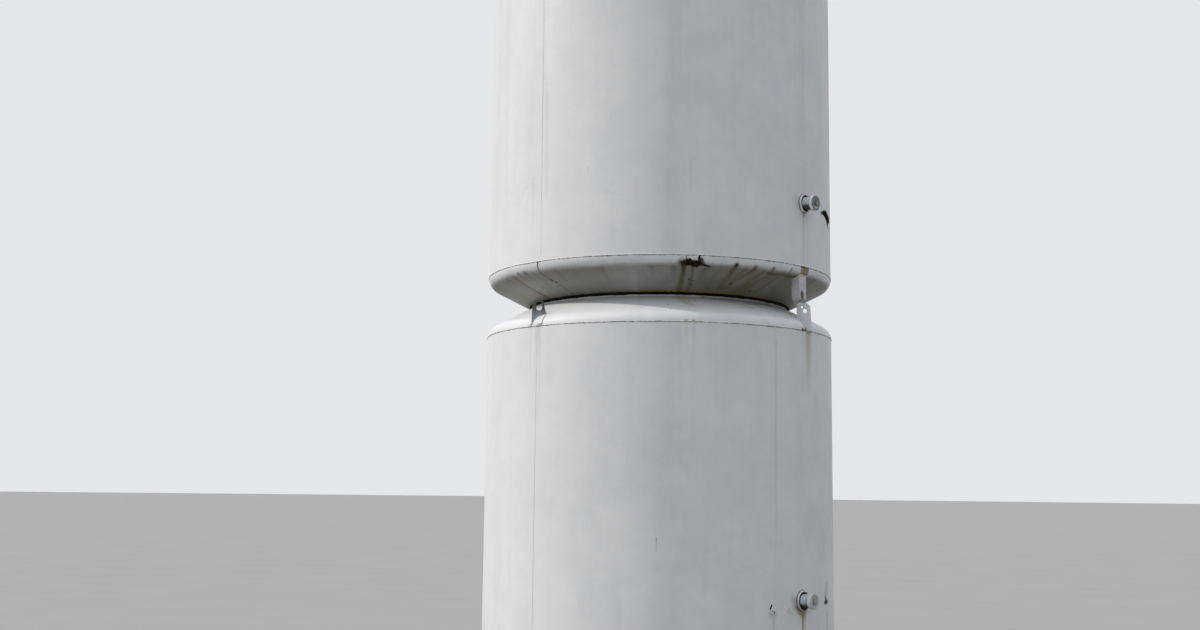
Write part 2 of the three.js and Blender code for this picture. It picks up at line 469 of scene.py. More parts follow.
# Colours, linear
WHITE_PAINT = (0.73, 0.73, 0.725)
COOL_PAINT = (0.685, 0.703, 0.712)
GREY_DIRT = (0.33, 0.335, 0.33)
# Warm grime, also used as painted shade on the heads' undersides
WARM_GRIME_AND_SHADE = (0.20, 0.185, 0.15)
DARK_GRIME = (0.045, 0.043, 0.036)
OLIVE = (0.105, 0.080, 0.020)
YELLOW_STAIN = (0.29, 0.225, 0.055)
TAN_STAIN = (0.50, 0.44, 0.31)
RUST = (0.20, 0.10, 0.035)
DARK_RUST = (0.045, 0.026, 0.012)
ORANGE_RUST = (0.34, 0.175, 0.035)
GOLD_STAIN = (0.36, 0.265, 0.06)
GREEN_FILM = (0.31, 0.335, 0.25)
BARE_BLACK = (0.010, 0.008, 0.007)
LUG_PAINT = (0.35, 0.385, 0.405)
DARK_LUG = (0.075, 0.085, 0.088)
PALE_LUG_PAINT = (0.66, 0.695, 0.705)
LUG_STAIN = (0.36, 0.31, 0.20)
BROWN_TIP = (0.085, 0.042, 0.022)
RUN_DIRT = (0.12, 0.115, 0.10)
LINE_RUST = (0.105, 0.056, 0.022)
DEEP_OLIVE = (0.045, 0.034, 0.008)
WELD_SCORCH = (0.27, 0.165, 0.065)


def new_material(name):
    """An empty material's nodes, and the point in object coordinates."""
    material = bpy.data.materials.new(name)
    material.use_nodes = True
    material.node_tree.nodes.clear()
    n = Nodes(material.node_tree)
    n.material = material
    return n, n.add("ShaderNodeTexCoord").outputs["Object"]


def finish_material(n, color, roughness, bump, bump_distance, specular):
    shader = n.add("ShaderNodeBsdfPrincipled")
    n.put(shader.inputs["Base Color"], color)
    n.put(shader.inputs["Roughness"], roughness)
    n.put(shader.inputs["Specular IOR Level"], specular)
    if bump is not None:
        node = n.add("ShaderNodeBump", None, {"Height": bump, "Strength": 1.0, "Distance": bump_distance})
        n.put(shader.inputs["Normal"], node.outputs[0])
    out = n.add("ShaderNodeOutputMaterial")
    n.put(out.inputs[0], shader.outputs[0])
    return n.material


def vertical_noise(n, point, across, down, detail, roughness):
    """Noise squeezed sideways into vertical streaks."""
    return n.noise(n.vector("MULTIPLY", point, (across, across, down)), 1.0, detail, roughness)


def wobbled(n, point, scale, amount):
    """The point shifted by noise, so that a mark's edge is uneven."""
    texture = n.add("ShaderNodeTexNoise", None, {"Vector": point, "Scale": scale, "Detail": 3.0})
    shift = n.vector("SUBTRACT", texture.outputs["Color"], (0.5, 0.5, 0.5))
    scaled = n.vector("MULTIPLY", shift, (amount, amount, amount))
    return n.vector("ADD", point, scaled)


def weathered_paint(name, marks, radial, grime, dirt=0.10):
    """White paint with clouds, streaks and speckles, then marks as (colour, strokes, fine, depth)."""
    n, point = new_material(name)
    clouds = n.noise(point, 2.3, 4.0, 0.55)
    patches = n.noise(point, 9.0, 4.0, 0.6)
    if radial:
        streaks = radial_noise(n, point, 1.0, 4.0)
    else:
        streaks = vertical_noise(n, point, 5.5, 0.35, 4.0, 0.6)
    fine_streaks = vertical_noise(n, point, 26.0, 0.8, 3.0, 0.6)
    speckle = n.noise(point, 220.0, 2.0, 0.6)
    tone = n.between(clouds, 0.32, 0.7, 0.0, dirt)
    for texture, low, high, share in (
        (patches, 0.45, 0.8, 0.6), (streaks, 0.45, 0.78, 1.1),
        (fine_streaks, 0.55, 0.85, 0.6), (speckle, 0.62, 0.8, 0.5),
    ):
        tone = n.plus(tone, n.between(texture, low, high, 0.0, dirt * share))
    tint = n.between(n.noise(point, 5.0, 5.0, 0.7), 0.35, 0.65)
    color = n.mix(tone, n.mix(tint, WHITE_PAINT, COOL_PAINT), GREY_DIRT)
    for grime_color, mask in grime(n, point):
        color = n.mix(mask, color, grime_color)
    rough_edges = wobbled(n, point, 34.0, 0.016)
    fine_edges = wobbled(n, point, 90.0, 0.006)
    height = n.times(n.noise(point, 420.0, 2.0), 0.12)
    dull = 0.0
    for mark_color, lines, fine, depth in marks:
        mask = strokes_mask(n, fine_edges if fine else rough_edges, lines)
        color = n.mix(mask, color, mark_color)
        if depth:
            height = n.minus(height, n.times(mask, depth))
            dull = mask if dull == 0.0 else n.math("MAXIMUM", dull, mask)
    roughness = n.between(clouds, 0.3, 0.7, 0.42, 0.58)
    specular = n.blend(dull, 0.35, 0.0) if dull != 0.0 else 0.35
    return finish_material(n, color, roughness, height, 0.001, specular)


def azimuth_of(point):
    return math.degrees(math.atan2(point.x, -point.y))


def marks_between(marks, low, high, margin=1.5):
    """The marks that touch the sector from azimuth low to high."""
    kept = []
    for color, lines, fine, depth in marks:
        inside = []
        for line in lines:
            ends = [azimuth_of(line["Start"]), azimuth_of(line["End"])]
            if max(ends) > low - margin and min(ends) < high + margin:
                inside.append(line)
        if inside:
            kept.append((color, inside, fine, depth))
    return kept


def sector_paints(name, marks, bounds, *options):
    """One paint per sector, so that no single material carries all the marks."""
    paints = []
    for number, (low, high) in enumerate(zip(bounds, bounds[1:]), 1):
        paints.append(weathered_paint(f"{name}_{number}", marks_between(marks, low, high), *options))
    return paints


def paint_sectors(piece, bounds):
    """Gives each face the paint of its sector."""
    for face in piece.data.polygons:
        azimuth = azimuth_of(face.center)
        for index, (low, high) in enumerate(zip(bounds, bounds[1:])):
            if low <= azimuth <= high:
                face.material_index = index


# Weathering, in the azimuth and the radius or height where it shows

def lower_shell_marks():
    def at(azimuth, depth):
        return around(azimuth, SHELL_RADIUS, TOP_SEAM["lower"] - depth)

    grey = strokes(at, (
        (-49, 0, -49.1, 0.55, 6, 4, 0.9, 0, 0.3),
        (-46.9, 0, -47, 0.42, 4, 3, 0.9, 0, 0.38),
        (-45, 0, -44.8, 0.7, 6, 4, 0.9, 0, 0.32),
        (-45.8, 0, -45.8, 0.38, 18, 12, 0.9, 0, 0.3),
        (32.8, 0.1, 32, 1.9, 5, 4, 0.8, 0.2, 0.35),
        (-6, 1.33, -6, 1.42, 4, 3, 0.6, 0.2, 0.7),
        (61.3, 1.65, 61, 1.69, 24, 22, 0.9, 0.9, 0.6),
        (60.7, 1.69, 60.6, 1.74, 20, 26, 0.8, 1, 0.8),
        (61.9, 1.84, 61.9, 2.1, 24, 20, 0.9, 0.3, 0.35),
        (31.2, 1.8, 31.3, 2.05, 14, 10, 0.9, 0.1, 0.45),
        (39.9, 1.715, 41, 1.75, 22, 32, 1, 1, 0.7),
        (30.4, 1.8, 31.4, 1.806, 22, 22, 1, 1, 0.45),
        (37.9, 1.766, 37.8, 1.772, 5, 5, 0.5, 1, 0.75),
        (36.9, 1.785, 39, 1.795, 12, 12, 0.9, 0.8, 0.35),
        (45.6, 1.8, 45.6, 2, 8, 6, 0.9, 0.1, 0.45),
        (104, 0, 104.2, 1.1, 20, 14, 1, 0, 0.35),
        (152, 0, 151.8, 1.5, 26, 16, 1, 0.1, 0.4),
        (-164, 0, -164.2, 1.3, 22, 14, 1, 0, 0.4),
        (-112, 0, -112, 0.8, 18, 12, 1, 0, 0.35),
    ))
    brown = strokes(at, (
        (45.4, 0, 45.4, 0.6, 6, 4, 0.9, 0, 0.2),
        (2.6, 0, 2.6, 0.18, 10, 6, 0.9, 0, 0.14),
        (4.9, 0, 4.9, 0.26, 10, 6, 0.9, 0, 0.14),
        (-46.4, 0.3, -46.3, 2.1, 3.5, 3.5, 0.8, 0.9, 0.2),
        (134.6, 0, 134.4, 0.7, 6, 4, 0.8, 0.1, 0.6),
        (-135, 0, -134.8, 0.5, 6, 4, 0.8, 0.1, 0.6),
        (-131, 0, -131.2, 0.9, 5, 4, 0.8, 0.1, 0.45),
        (171, 0.62, 171, 1.15, 6, 4, 0.8, 0, 0.6),
        (118, 1.42, 118.1, 1.8, 5, 4, 0.8, 0, 0.5),
    ))
    drain = DRAIN_AZIMUTH["lower"]
    tan = strokes(at, (
        (132.2, 0, 132.3, 0.5, 30, 18, 1, 0, 0.65),
        (-132.6, 0, -132.5, 0.42, 34, 20, 1, 0, 0.65),
        (48.6, 0, 48.6, 0.44, 36, 22, 1, 0, 0.75),
        (49.6, 0, 49.3, 0.24, 10, 8, 1, 0, 0.6),
    ))
    yellow = strokes(at, (
        (drain + 0.3, 1.785, drain + 0.3, 1.82, 44, 22, 0.9, 0.8, 0.95),
        (drain + 0.2, 1.825, drain + 0.2, 2.05, 15, 8, 1, 0.1, 0.5),
        (drain - 3.1, 1.765, drain - 0.8, 1.81, 12, 16, 0.9, 1, 0.75),
    ))
    orange = strokes(at, [(drain + 0.15, 1.79, drain + 0.1, 2.14, 6.6, 5.2, 0.5, 0.65, 1)])
    seam_rust = strokes(at, (
        (44.9, 0.001, 50.4, 0.001, 3.5, 5, 0.7, 1, 0.9),
        (45.1, 0.001, 45.6, 0.002, 8, 8, 0.5, 1, 0.9),
        (49.8, 0.001, 50.4, 0.002, 8, 8, 0.5, 1, 0.9),
    ))
    chips = strokes(at, (
        (30.5, 1.742, 29.9, 1.766, 6.2, 5.2, 0.3, 1, 1),
        (31.7, 1.782, 31.5, 1.792, 5, 4, 0.4, 1, 0.85),
        (30.7, 1.776, 31, 1.78, 3.5, 3, 0.4, 1, 0.7),
        (29.8, 1.79, 30.6, 1.8, 3, 3, 0.7, 1, 0.4),
        (171, 0.61, 171.3, 0.62, 9, 7, 0.4, 1, 1),
        (118, 1.41, 117.7, 1.42, 7, 6, 0.4, 1, 1),
    ))
    green = strokes(at, (
        (59.7, 1.756, 61.8, 1.752, 14, 15, 0.35, 1, 0.95),
        (60.2, 1.725, 60.6, 1.742, 9, 13, 0.5, 1, 0.85),
    ))
    return [
        (GREY_DIRT, grey, True, 0.0), (ORANGE_RUST, brown, True, 0.0), (LUG_STAIN, tan, False, 0.0),
        (YELLOW_STAIN, yellow, False, 0.0), (ORANGE_RUST, orange, True, 0.0),
        (DARK_RUST, seam_rust, True, 0.1), (DARK_GRIME, green, True, 0.2), (BARE_BLACK, chips, True, 0.4),
    ]


def upper_shell_marks():
    def at(azimuth, height):
        return around(azimuth, SHELL_RADIUS, BOTTOM_SEAM["upper"] + height)

    grey = strokes(at, (
        (-43.4, 1.1, -43.2, 0.42, 10, 16, 1, 0.6, 0.2),
        (-49.1, 0.55, -49.1, 0.15, 10, 6, 1, 0.2, 0.22),
        (-27.9, 0.575, -27.9, 0.53, 4, 3, 0.8, 0.4, 0.35),
        (-22.9, 0.4, -17, 0.385, 12, 10, 1, 0.6, 0.12),
        (3.8, 0.6, 3.9, 0.4, 6, 4, 1, 0.4, 0.16),
        (-52, 0.52, -57, 0.38, 4, 3, 0.8, 0.6, 0.3),
        (70.9, 1.9, 70.4, 0.7, 16, 12, 1, 0.3, 0.34),
        (42.4, 0.43, 43, 0.4, 30, 26, 0.95, 0.9, 0.35),
        (110, 2.15, 110.2, 0.9, 22, 14, 1, 0, 0.4),
        (158, 2.15, 157.8, 0.7, 28, 16, 1, 0.1, 0.4),
        (-170, 2.15, -170.2, 1, 22, 14, 1, 0, 0.4),
        (-118, 2.15, -118, 1.2, 18, 12, 1, 0, 0.35),
    ))
    drain = DRAIN_AZIMUTH["upper"]
    rust = strokes(at, (
        (134.4, 2.15, 134.3, 1.5, 6, 4, 0.8, 0.1, 0.6),
        (130.8, 2.15, 130.8, 1.8, 5, 4, 0.8, 0.1, 0.55),
        (-134.8, 2.15, -134.7, 1.6, 6, 4, 0.8, 0.1, 0.6),
        (-96, 0.93, -96, 0.45, 5, 4, 0.8, 0, 0.55),
        (-45.6, 1.75, -45.2, 0.4, 3.5, 3.5, 0.8, 0.6, 0.26),
        (drain - 0.3, 0.34, drain - 0.4, 0, 3.5, 3, 0.8, 0.5, 0.32),
        (drain - 0.3, 0.366, drain - 0.2, 0.325, 14, 4, 0.6, 0.8, 0.9),
    ))
    bare = strokes(at, (
        (60.4, 0.407, 62.2, 0.411, 10, 18, 0.25, 1, 1),
        (62.2, 0.411, 64.6, 0.409, 18, 32, 0.25, 1, 1),
        (64.6, 0.409, 67.2, 0.392, 32, 36, 0.25, 1, 1),
        (67.2, 0.392, 70.4, 0.392, 36, 24, 0.25, 1, 1),
        (-96, 0.93, -95.6, 0.94, 8, 7, 0.4, 1, 1),
    ))
    brown_tip = strokes(at, (
        (66.8, 0.366, 68.2, 0.332, 24, 10, 0.5, 1, 1),
        (59.6, 0.402, 60.8, 0.405, 12, 10, 0.5, 1, 0.9),
    ))
    return [
        (GREY_DIRT, grey, False, 0.0), (RUST, rust, True, 0.1),
        (BARE_BLACK, bare, True, 0.5), (BROWN_TIP, brown_tip, True, 0.2),
    ]


def underside_marks():
    at = partial(on_head, "upper", "bottom")
    rim = partial(near_seam, "upper", "bottom")
    rust_lines = path_strokes([rim(-46.3, 0.002), at(-46.9, 1.187), at(-47.1, 1.155), at(-46.4, 1.085)],
                              0.006, 0.005, 0.5, 0.8, 1.0)
    rust_lines += strokes(at, (
        (-46, 1.08, -45.7, 1.07, 9, 6, 0.4, 1, 1),
        (-45.1, 1.055, -44.7, 1.046, 7, 6, 0.4, 1, 1),
        (-44.7, 1.03, -42.7, 0.915, 7, 6, 0.8, 0.5, 0.7),
    ))
    rust_lines += paths(at, [
        (((-61.2, 1.165), (-61.4, 1.041), (-60.1, 0.969), (-58.6, 0.905)), 6, 9, 0.7, 0.9, 0.85),
    ])
    dark_runs = strokes(at, (
        (-67, 1.16, -66, 1.09, 12, 8, 0.9, 0.2, 0.85),
        (-63.5, 1.15, -63, 0.98, 10, 10, 0.9, 0.3, 0.5),
        (-57.5, 1.178, -56.5, 1.1, 12, 8, 0.9, 0.2, 0.85),
        (-54, 1.175, -53.6, 1.07, 14, 10, 0.9, 0.2, 0.8),
        (-50.5, 1.16, -50.2, 0.98, 10, 12, 0.9, 0.3, 0.45),
        (-40.5, 1.16, -39.8, 1.02, 12, 12, 0.9, 0.3, 0.45),
        (-34, 1.15, -33.6, 1.06, 10, 10, 0.9, 0.2, 0.4),
        (-24, 1.15, -23.6, 1.05, 12, 10, 0.9, 0.2, 0.4),
        (-8, 1.15, -7.6, 1.08, 20, 14, 0.95, 0.2, 0.5),
        (-1, 1.15, -0.6, 1.02, 20, 16, 0.95, 0.3, 0.5),
    ))
    olive = paths(at, (
        (((2.06, 1.172), (2.32, 1.095), (2.4, 1.027), (2.15, 0.92)), 13.5, 17, 0.8, 0.6, 1),
        (((4.96, 1.159), (5.71, 1.049), (5.92, 0.99), (5.94, 0.925)), 9, 11, 0.9, 0.6, 0.75),
        (((18.73, 1.181), (18.4, 1.155), (18.44, 1.077), (17.95, 0.96)), 18, 17, 1, 0.5, 0.95),
        (((25.75, 1.179), (25.24, 1.152), (24, 1.109), (21.7, 1.034), (20.2, 0.955)), 15, 17, 1, 0.45, 0.9),
        (((32.6, 1.184), (32.9, 1.12), (31.3, 1.081), (30.2, 1.015), (28.6, 0.945)), 13, 20, 1, 0.5, 0.85),
        (((37.8, 1.16), (36.9, 1.122), (36.5, 1.05), (35.2, 0.965)), 15, 20, 1, 0.5, 0.85),
        (((40.3, 1.192), (40.2, 1.165), (39.6, 1.1)), 8, 8, 0.8, 0.5, 0.8),
        (((31.6, 1.152), (35.2, 1.146), (38.95, 1.153), (43.3, 1.15), (45.7, 1.168)), 14, 15, 1, 1, 0.9),
    ))
    olive += strokes(at, (
        (22.4, 1.16, 20.6, 1.05, 11.2, 16, 1, 0.45, 0.6),
        (29.6, 1.155, 27.2, 1.04, 14, 20, 1, 0.45, 0.7),
        (34.6, 1.145, 33.6, 1.04, 14, 20, 1, 0.45, 0.75),
        (28.2, 1.03, 27, 0.94, 22.4, 32, 1, 0.45, 0.7),
        (41.8, 1.14, 40.9, 1.02, 14, 20, 1, 0.45, 0.7),
        (43.6, 1.14, 42.6, 0.99, 14, 20, 1, 0.45, 0.6),
        (13.5, 1.12, 12.8, 0.96, 11.2, 16, 1, 0.45, 0.35),
        (9, 1.14, 8.8, 1, 14, 20, 1, 0.45, 0.35),
        (52.5, 1.16, 51.8, 1.06, 14, 20, 1, 0.45, 0.5),
        (57, 1.165, 56, 1.08, 14, 20, 1, 0.45, 0.45),
        (QUARTERS["back_right"], 1.14, QUARTERS["back_right"], 1.02, 30, 20, 1, 0.3, 0.7),
        (QUARTERS["back_left"], 1.14, QUARTERS["back_left"], 1.02, 30, 20, 1, 0.3, 0.7),
    ))
    deep_olive = strokes(at, (
        (1.9, 1.176, 2.35, 1.085, 10.5, 6, 0.8, 0.35, 0.9),
        (18.6, 1.178, 18.4, 1.105, 9, 8, 1, 0.35, 0.75),
        (25.7, 1.176, 24.6, 1.125, 6.5, 6, 1, 0.4, 0.7),
        (31.8, 1.15, 45.4, 1.16, 4.5, 5.5, 1, 1, 0.6),
        (58.4, 1.071, 71.5, 1.013, 26, 26, 0.7, 1, 0.7),
        (-45.9, 1.079, -45.8, 1.073, 7, 6, 0.5, 1, 1),
        (-45, 1.053, -44.8, 1.047, 6, 5, 0.5, 1, 1),
        (-60.6, 1, -58.9, 0.92, 6, 8, 0.8, 0.9, 0.8),
    ))
    olive += strokes(rim, (
        (1, 0.046, 2, 0.06, 20, 20, 0.9, 1, 0.8),
        (6.8, 0.044, 7.9, 0.05, 20, 14, 0.9, 1, 0.8),
        (7.3, 0.022, 7.5, 0.04, 10, 10, 0.9, 1, 0.6),
    ))
    patch = strokes(rim, (
        (47.2, 0.004, 47, 0.044, 36, 30, 0.5, 0.85, 1),
        (45.2, 0.006, 45.6, 0.05, 7, 7, 0.6, 1, 0.9),
        (QUARTERS["back_right"], 0.004, QUARTERS["back_right"], 0.042, 30, 24, 0.7, 0.8, 0.85),
        (QUARTERS["back_left"], 0.004, QUARTERS["back_left"], 0.042, 30, 24, 0.7, 0.8, 0.85),
    ))
    patch_edge = strokes(rim, (
        (44.7, 0.004, 46.6, 0.008, 6, 6, 0.5, 1, 0.95),
        (49, 0.006, 49.3, 0.046, 8, 10, 0.6, 0.8, 0.85),
        (48, 0.05, 49.2, 0.048, 8, 8, 0.6, 1, 0.8),
    ))
    spots = strokes(at, (
        (18.9, 1.184, 18.7, 1.181, 9, 9, 0.4, 1, 1),
        (4.95, 1.04, 4.97, 1.036, 6, 6, 0.5, 1, 0.9),
        (6.56, 1.027, 6.56, 1.024, 5, 5, 0.5, 1, 0.8),
        (6.66, 0.992, 6.66, 0.989, 5, 5, 0.5, 1, 0.8),
        (21.2, 1.018, 21.2, 1.015, 7, 7, 0.5, 1, 0.9),
        (32.3, 0.966, 32.3, 0.962, 9, 9, 0.5, 1, 0.9),
    ))
    scar_brown = strokes(rim, (
        (1.3, 0.05, 2.6, 0.04, 14, 18, 0.6, 1, 0.9),
        (1.6, 0.062, 2.6, 0.058, 10, 16, 0.6, 1, 0.9),
        (2.45, 0.004, 2.62, 0.034, 3.5, 3.5, 0.5, 1, 0.8),
        (7.05, 0.026, 7.66, 0.032, 8, 8, 0.5, 1, 0.8),
        (7.66, 0.032, 7.6, 0.048, 6, 6, 0.5, 1, 0.8),
        (6.94, 0.054, 8.27, 0.059, 13, 10, 0.5, 1, 1),
        (8.27, 0.059, 10.3, 0.066, 10, 6, 0.5, 0.9, 1),
    ))
    scar_black = strokes(rim, (
        (3, 0.04, 6.2, 0.046, 12, 14, 0.35, 1, 1),
        (3, 0.056, 6.4, 0.058, 12, 14, 0.35, 1, 1),
        (3.5, 0.028, 3.9, 0.03, 7, 6, 0.4, 1, 1),
        (4.6, 0.066, 6.2, 0.068, 6, 8, 0.4, 1, 1),
        (6.58, 0.002, 6.42, 0.02, 6, 8, 0.4, 1, 1),
        (6.42, 0.02, 6.9, 0.05, 8, 10, 0.4, 1, 1),
    ))
    return [
        (RUN_DIRT, dark_runs, False, 0.0), (OLIVE, olive, False, 0.0),
        (LINE_RUST, rust_lines, True, 0.2), (DEEP_OLIVE, deep_olive, True, 0.0),
        (WELD_SCORCH, patch, False, 0.0), (DARK_RUST, patch_edge + scar_brown + spots, True, 0.3),
        (BARE_BLACK, scar_black, True, 0.5),
    ]


def lower_top_head_marks():
    at = partial(on_head, "lower", "top")
    rim = partial(near_seam, "lower", "top")
    tan = paths(at, [(((2.2, 0.915), (3.4, 0.974), (4.4, 1.04), (6.2, 1.078)), 26, 14, 0.9, 0.7, 0.75)])
    tan += strokes(at, [(4.6, 0.93, 6.6, 1.07, 8, 6, 0.8, 1, 0.6)])
    dirty = strokes(rim, (
        (-46.6, 0.06, -46.9, 0.01, 36, 44, 0.35, 1, 0.16),
        (48.6, 0.05, 48.8, 0.01, 36, 40, 0.4, 1, 0.12),
    ))
    dirty += strokes(at, (
        (12, 0.911, 62, 0.909, 8, 10, 0.8, 1, 0.85),
        (16, 0.93, 34, 0.945, 22, 35, 0.95, 1, 0.55),
        (34, 0.945, 60, 0.95, 35, 40, 0.95, 1, 0.65),
        (22, 0.96, 30, 1.035, 12, 10, 0.95, 0.5, 0.45),
        (30, 0.97, 42, 1.045, 16, 12, 0.95, 0.6, 0.5),
        (42, 0.98, 53, 1.05, 18, 12, 0.95, 0.6, 0.5),
        (8, 0.96, 8.4, 1.18, 10, 5, 0.9, 0.2, 0.2),
    ))
    left = [at(-44.83, 1.1426), rim(-44.15, 0.056), rim(-44.1, 0.036), rim(-44.2, 0.010), rim(-45.2, 0.0)]
    lines = path_strokes(left, 0.0042, 0.0050, 0.5, 1.0, 0.95)
    lines += path_strokes([at(48.4, 1.132), rim(46.3, 0.050), rim(46.6, 0.024), rim(47.2, 0.004)],
                          0.0032, 0.0040, 0.7, 1.0, 0.6)
    lines += strokes(rim, (
        (-48.75, 0.02, -49.2, 0, 6, 6, 0.5, 1, 0.95),
        (-14.2, 0.075, -14.2, 0.005, 3, 3, 0.8, 0.5, 0.25),
    ))
    rust = strokes(rim, (
        (-49.8, 0, -48.9, 0.003, 6, 5, 0.6, 1, 0.95),
        (-45.8, 0, -44.8, 0.005, 6, 6, 0.6, 1, 0.95),
        (-44.2, 0.014, -44.4, 0.003, 4, 5, 0.6, 1, 0.7),
        (45, 0.002, 50.2, 0, 7, 9, 0.7, 1, 0.95),
        (45.2, 0.004, 45.5, 0.002, 10, 10, 0.5, 1, 1),
        (47.2, 0.003, 47.5, 0.002, 9, 9, 0.5, 1, 1),
        (49.8, 0.024, 50.3, 0, 4, 9, 0.6, 1, 0.85),
        (2.4, 0.002, 2.9, 0.002, 7, 6, 0.6, 1, 0.9),
        (4.7, 0.002, 5.1, 0.002, 7, 6, 0.6, 1, 0.9),
    ))
    rust += strokes(at, [(-2.5, 1.056, -2.5, 1.052, 5, 5, 0.5, 1, 0.8)])
    return [
        (TAN_STAIN, tan, False, 0.0), (WARM_GRIME_AND_SHADE, dirty, False, 0.0),
        (DARK_LUG, lines, True, 0.1), (RUST, rust, True, 0.1),
    ]


def axis_distance(n, point):
    return n.vector("LENGTH", n.vector("MULTIPLY", point, (1, 1, 0)))


def radial_noise(n, point, scale, detail, roughness=0.6):
    """Noise that runs out along the radius of a head."""
    flat = n.vector("MULTIPLY", point, (1, 1, 0))
    spread = n.scaled(n.vector("NORMALIZE", flat), 9.0)
    lift = n.add("ShaderNodeCombineXYZ", None, {"Z": n.times(n.vector("LENGTH", flat), 1.6)}).outputs[0]
    return n.noise(n.vector("ADD", spread, lift), scale, detail, roughness)


def facing(n, point, centre, spread):
    """A mask around one azimuth, which fades out spread degrees away from it."""
    flat = n.vector("NORMALIZE", n.vector("MULTIPLY", point, (1, 1, 0)))
    alike = n.vector("DOT_PRODUCT", flat, around(centre, 1.0, 0.0))
    return n.between(alike, math.cos(math.radians(spread)), math.cos(math.radians(spread / 4)))


def shell_grime(unit):
    """Soil splashed up on the foot of the shell, and dull green runs at the back."""
    def grime(n, point):
        height = n.minus(n.height(point), BOTTOM_SEAM[unit])
        patches = n.noise(point, 6.0, 5.0, 0.65)
        splash = n.between(n.ragged(height, patches, 0.35), 0.26, 0.0, 0.0, 0.42 if unit == "lower" else 0.0)
        back = facing(n, point, 180.0, 100.0)
        runs = vertical_noise(n, point, 11.0, 0.5, 4.0, 0.65)
        film = vertical_noise(n, point, 3.0, 0.9, 4.0, 0.6)
        return [
            (WARM_GRIME_AND_SHADE, splash),
            (GREY_DIRT, n.times(back, n.between(runs, 0.50, 0.72, 0.0, 0.34))),
            (GREEN_FILM, n.times(back, n.between(film, 0.42, 0.70, 0.0, 0.36))),
        ]
    return grime


def underside_grime(n, point):
    """Dirt that thickens from the knuckle towards the neck, in radial runs, with painted shade over the
    underside that is stronger on its left and right.
    """
    radius = axis_distance(n, point)
    runs = radial_noise(n, point, 1.6, 4.0)
    fine_runs = radial_noise(n, point, 5.0, 3.0)
    patches = n.noise(point, 7.0, 4.0, 0.65)
    ragged = n.ragged(radius, patches, 0.018)
    reach = n.between(ragged, 1.195, 1.166, 0.0, 1.0)
    inner = n.math("MAXIMUM", n.between(radius, 1.02, 1.15, 0.55, 1.0), facing(n, point, 38.0, 55.0))
    # Veil and soot: dirt, and painted shade on an underside that faces the floor
    veil = n.times(reach, n.between(runs, 0.25, 0.75, 0.60, 0.95))
    # Stronger around azimuth -62: painted shade on the left
    soot_and_shade_amount = n.plus(n.times(patches, 0.6), n.times(facing(n, point, -62.0, 50.0), 0.42))
    soot_and_shade = n.times(n.between(ragged, 1.188, 1.15, 0.0, 1.0), n.between(soot_and_shade_amount, 0.15, 0.6, 0.25, 0.9))
    soot_and_shade = n.times(soot_and_shade, inner)
    # Painted shade on the left of the underside
    left = n.times(n.between(ragged, 1.175, 1.14, 0.0, 0.5), facing(n, point, -58.0, 48.0))
    # Painted shade on the right of the underside
    shaded = n.times(reach, facing(n, point, 78.0, 42.0), 0.45)
    warm = n.times(reach, facing(n, point, 32.0, 50.0), 0.5)
    lines = n.times(reach, inner, n.between(fine_runs, 0.54, 0.72, 0.0, 0.4))
    neck_edge = n.between(radius, 0.950, 0.905, 0.0, 1.0)
    neck = n.times(neck_edge, n.between(runs, 0.3, 0.6, 0.2, 0.6))
    gold = n.times(n.between(radius, 0.940, 0.912, 0.0, 0.62), facing(n, point, 14.0, 46.0))
    return [
        (GREY_DIRT, veil), (WARM_GRIME_AND_SHADE, soot_and_shade), (WARM_GRIME_AND_SHADE, left), (WARM_GRIME_AND_SHADE, shaded), (OLIVE, warm),
        (WARM_GRIME_AND_SHADE, lines), (OLIVE, neck), (GOLD_STAIN, gold),
    ]


def top_head_grime(n, point):
    """Dirt near the neck, where rain doesn't reach."""
    radius = axis_distance(n, point)
    runs = radial_noise(n, point, 1.6, 4.0)
    reach = n.between(radius, 1.02, 0.91, 0.0, 1.0)
    veil = n.times(reach, n.between(runs, 0.2, 0.8, 0.15, 0.5))
    return [(GREY_DIRT, veil)]


def crown_grime(n, point):
    """Dust and lichen where rain dries on the uppermost head."""
    radius = axis_distance(n, point)
    patches = n.noise(point, 3.0, 5.0, 0.65)
    blotches = n.noise(point, 13.0, 5.0, 0.7)
    ragged = n.ragged(radius, patches, 0.25)
    flat = n.between(ragged, 0.95, 0.84, 0.0, 1.0)
    dust = n.times(flat, n.between(patches, 0.35, 0.68, 0.05, 0.45))
    tide = n.times(n.between(ragged, 0.80, 0.86), n.between(ragged, 0.93, 0.87))
    lichen = n.times(flat, n.between(blotches, 0.60, 0.70, 0.0, 0.55))
    runs = n.times(n.between(radius, 0.90, 0.96), radial_noise(n, point, 2.2, 4.0, 0.65))
    return [
        (GREY_DIRT, dust), (WARM_GRIME_AND_SHADE, n.times(tide, 0.16)), (GREEN_FILM, lichen),
        (GREY_DIRT, n.between(runs, 0.50, 0.72, 0.0, 0.35)),
    ]


def seam_grime_and_shade_material():
    """The dark line beside a weld bead: painted shade below the bead, with dirt turning to rust in places."""
    n, point = new_material("seam_grime_and_shade")
    broken = n.noise(point, 9.0, 5.0, 0.75)
    spots = n.noise(point, 26.0, 4.0, 0.7)
    color = n.mix(n.between(broken, 0.38, 0.62), (0.24, 0.225, 0.20), (0.055, 0.044, 0.030))
    color = n.mix(n.between(spots, 0.60, 0.68), color, (0.14, 0.065, 0.02))
    return finish_material(n, color, 0.8, None, 0.001, 0.1)


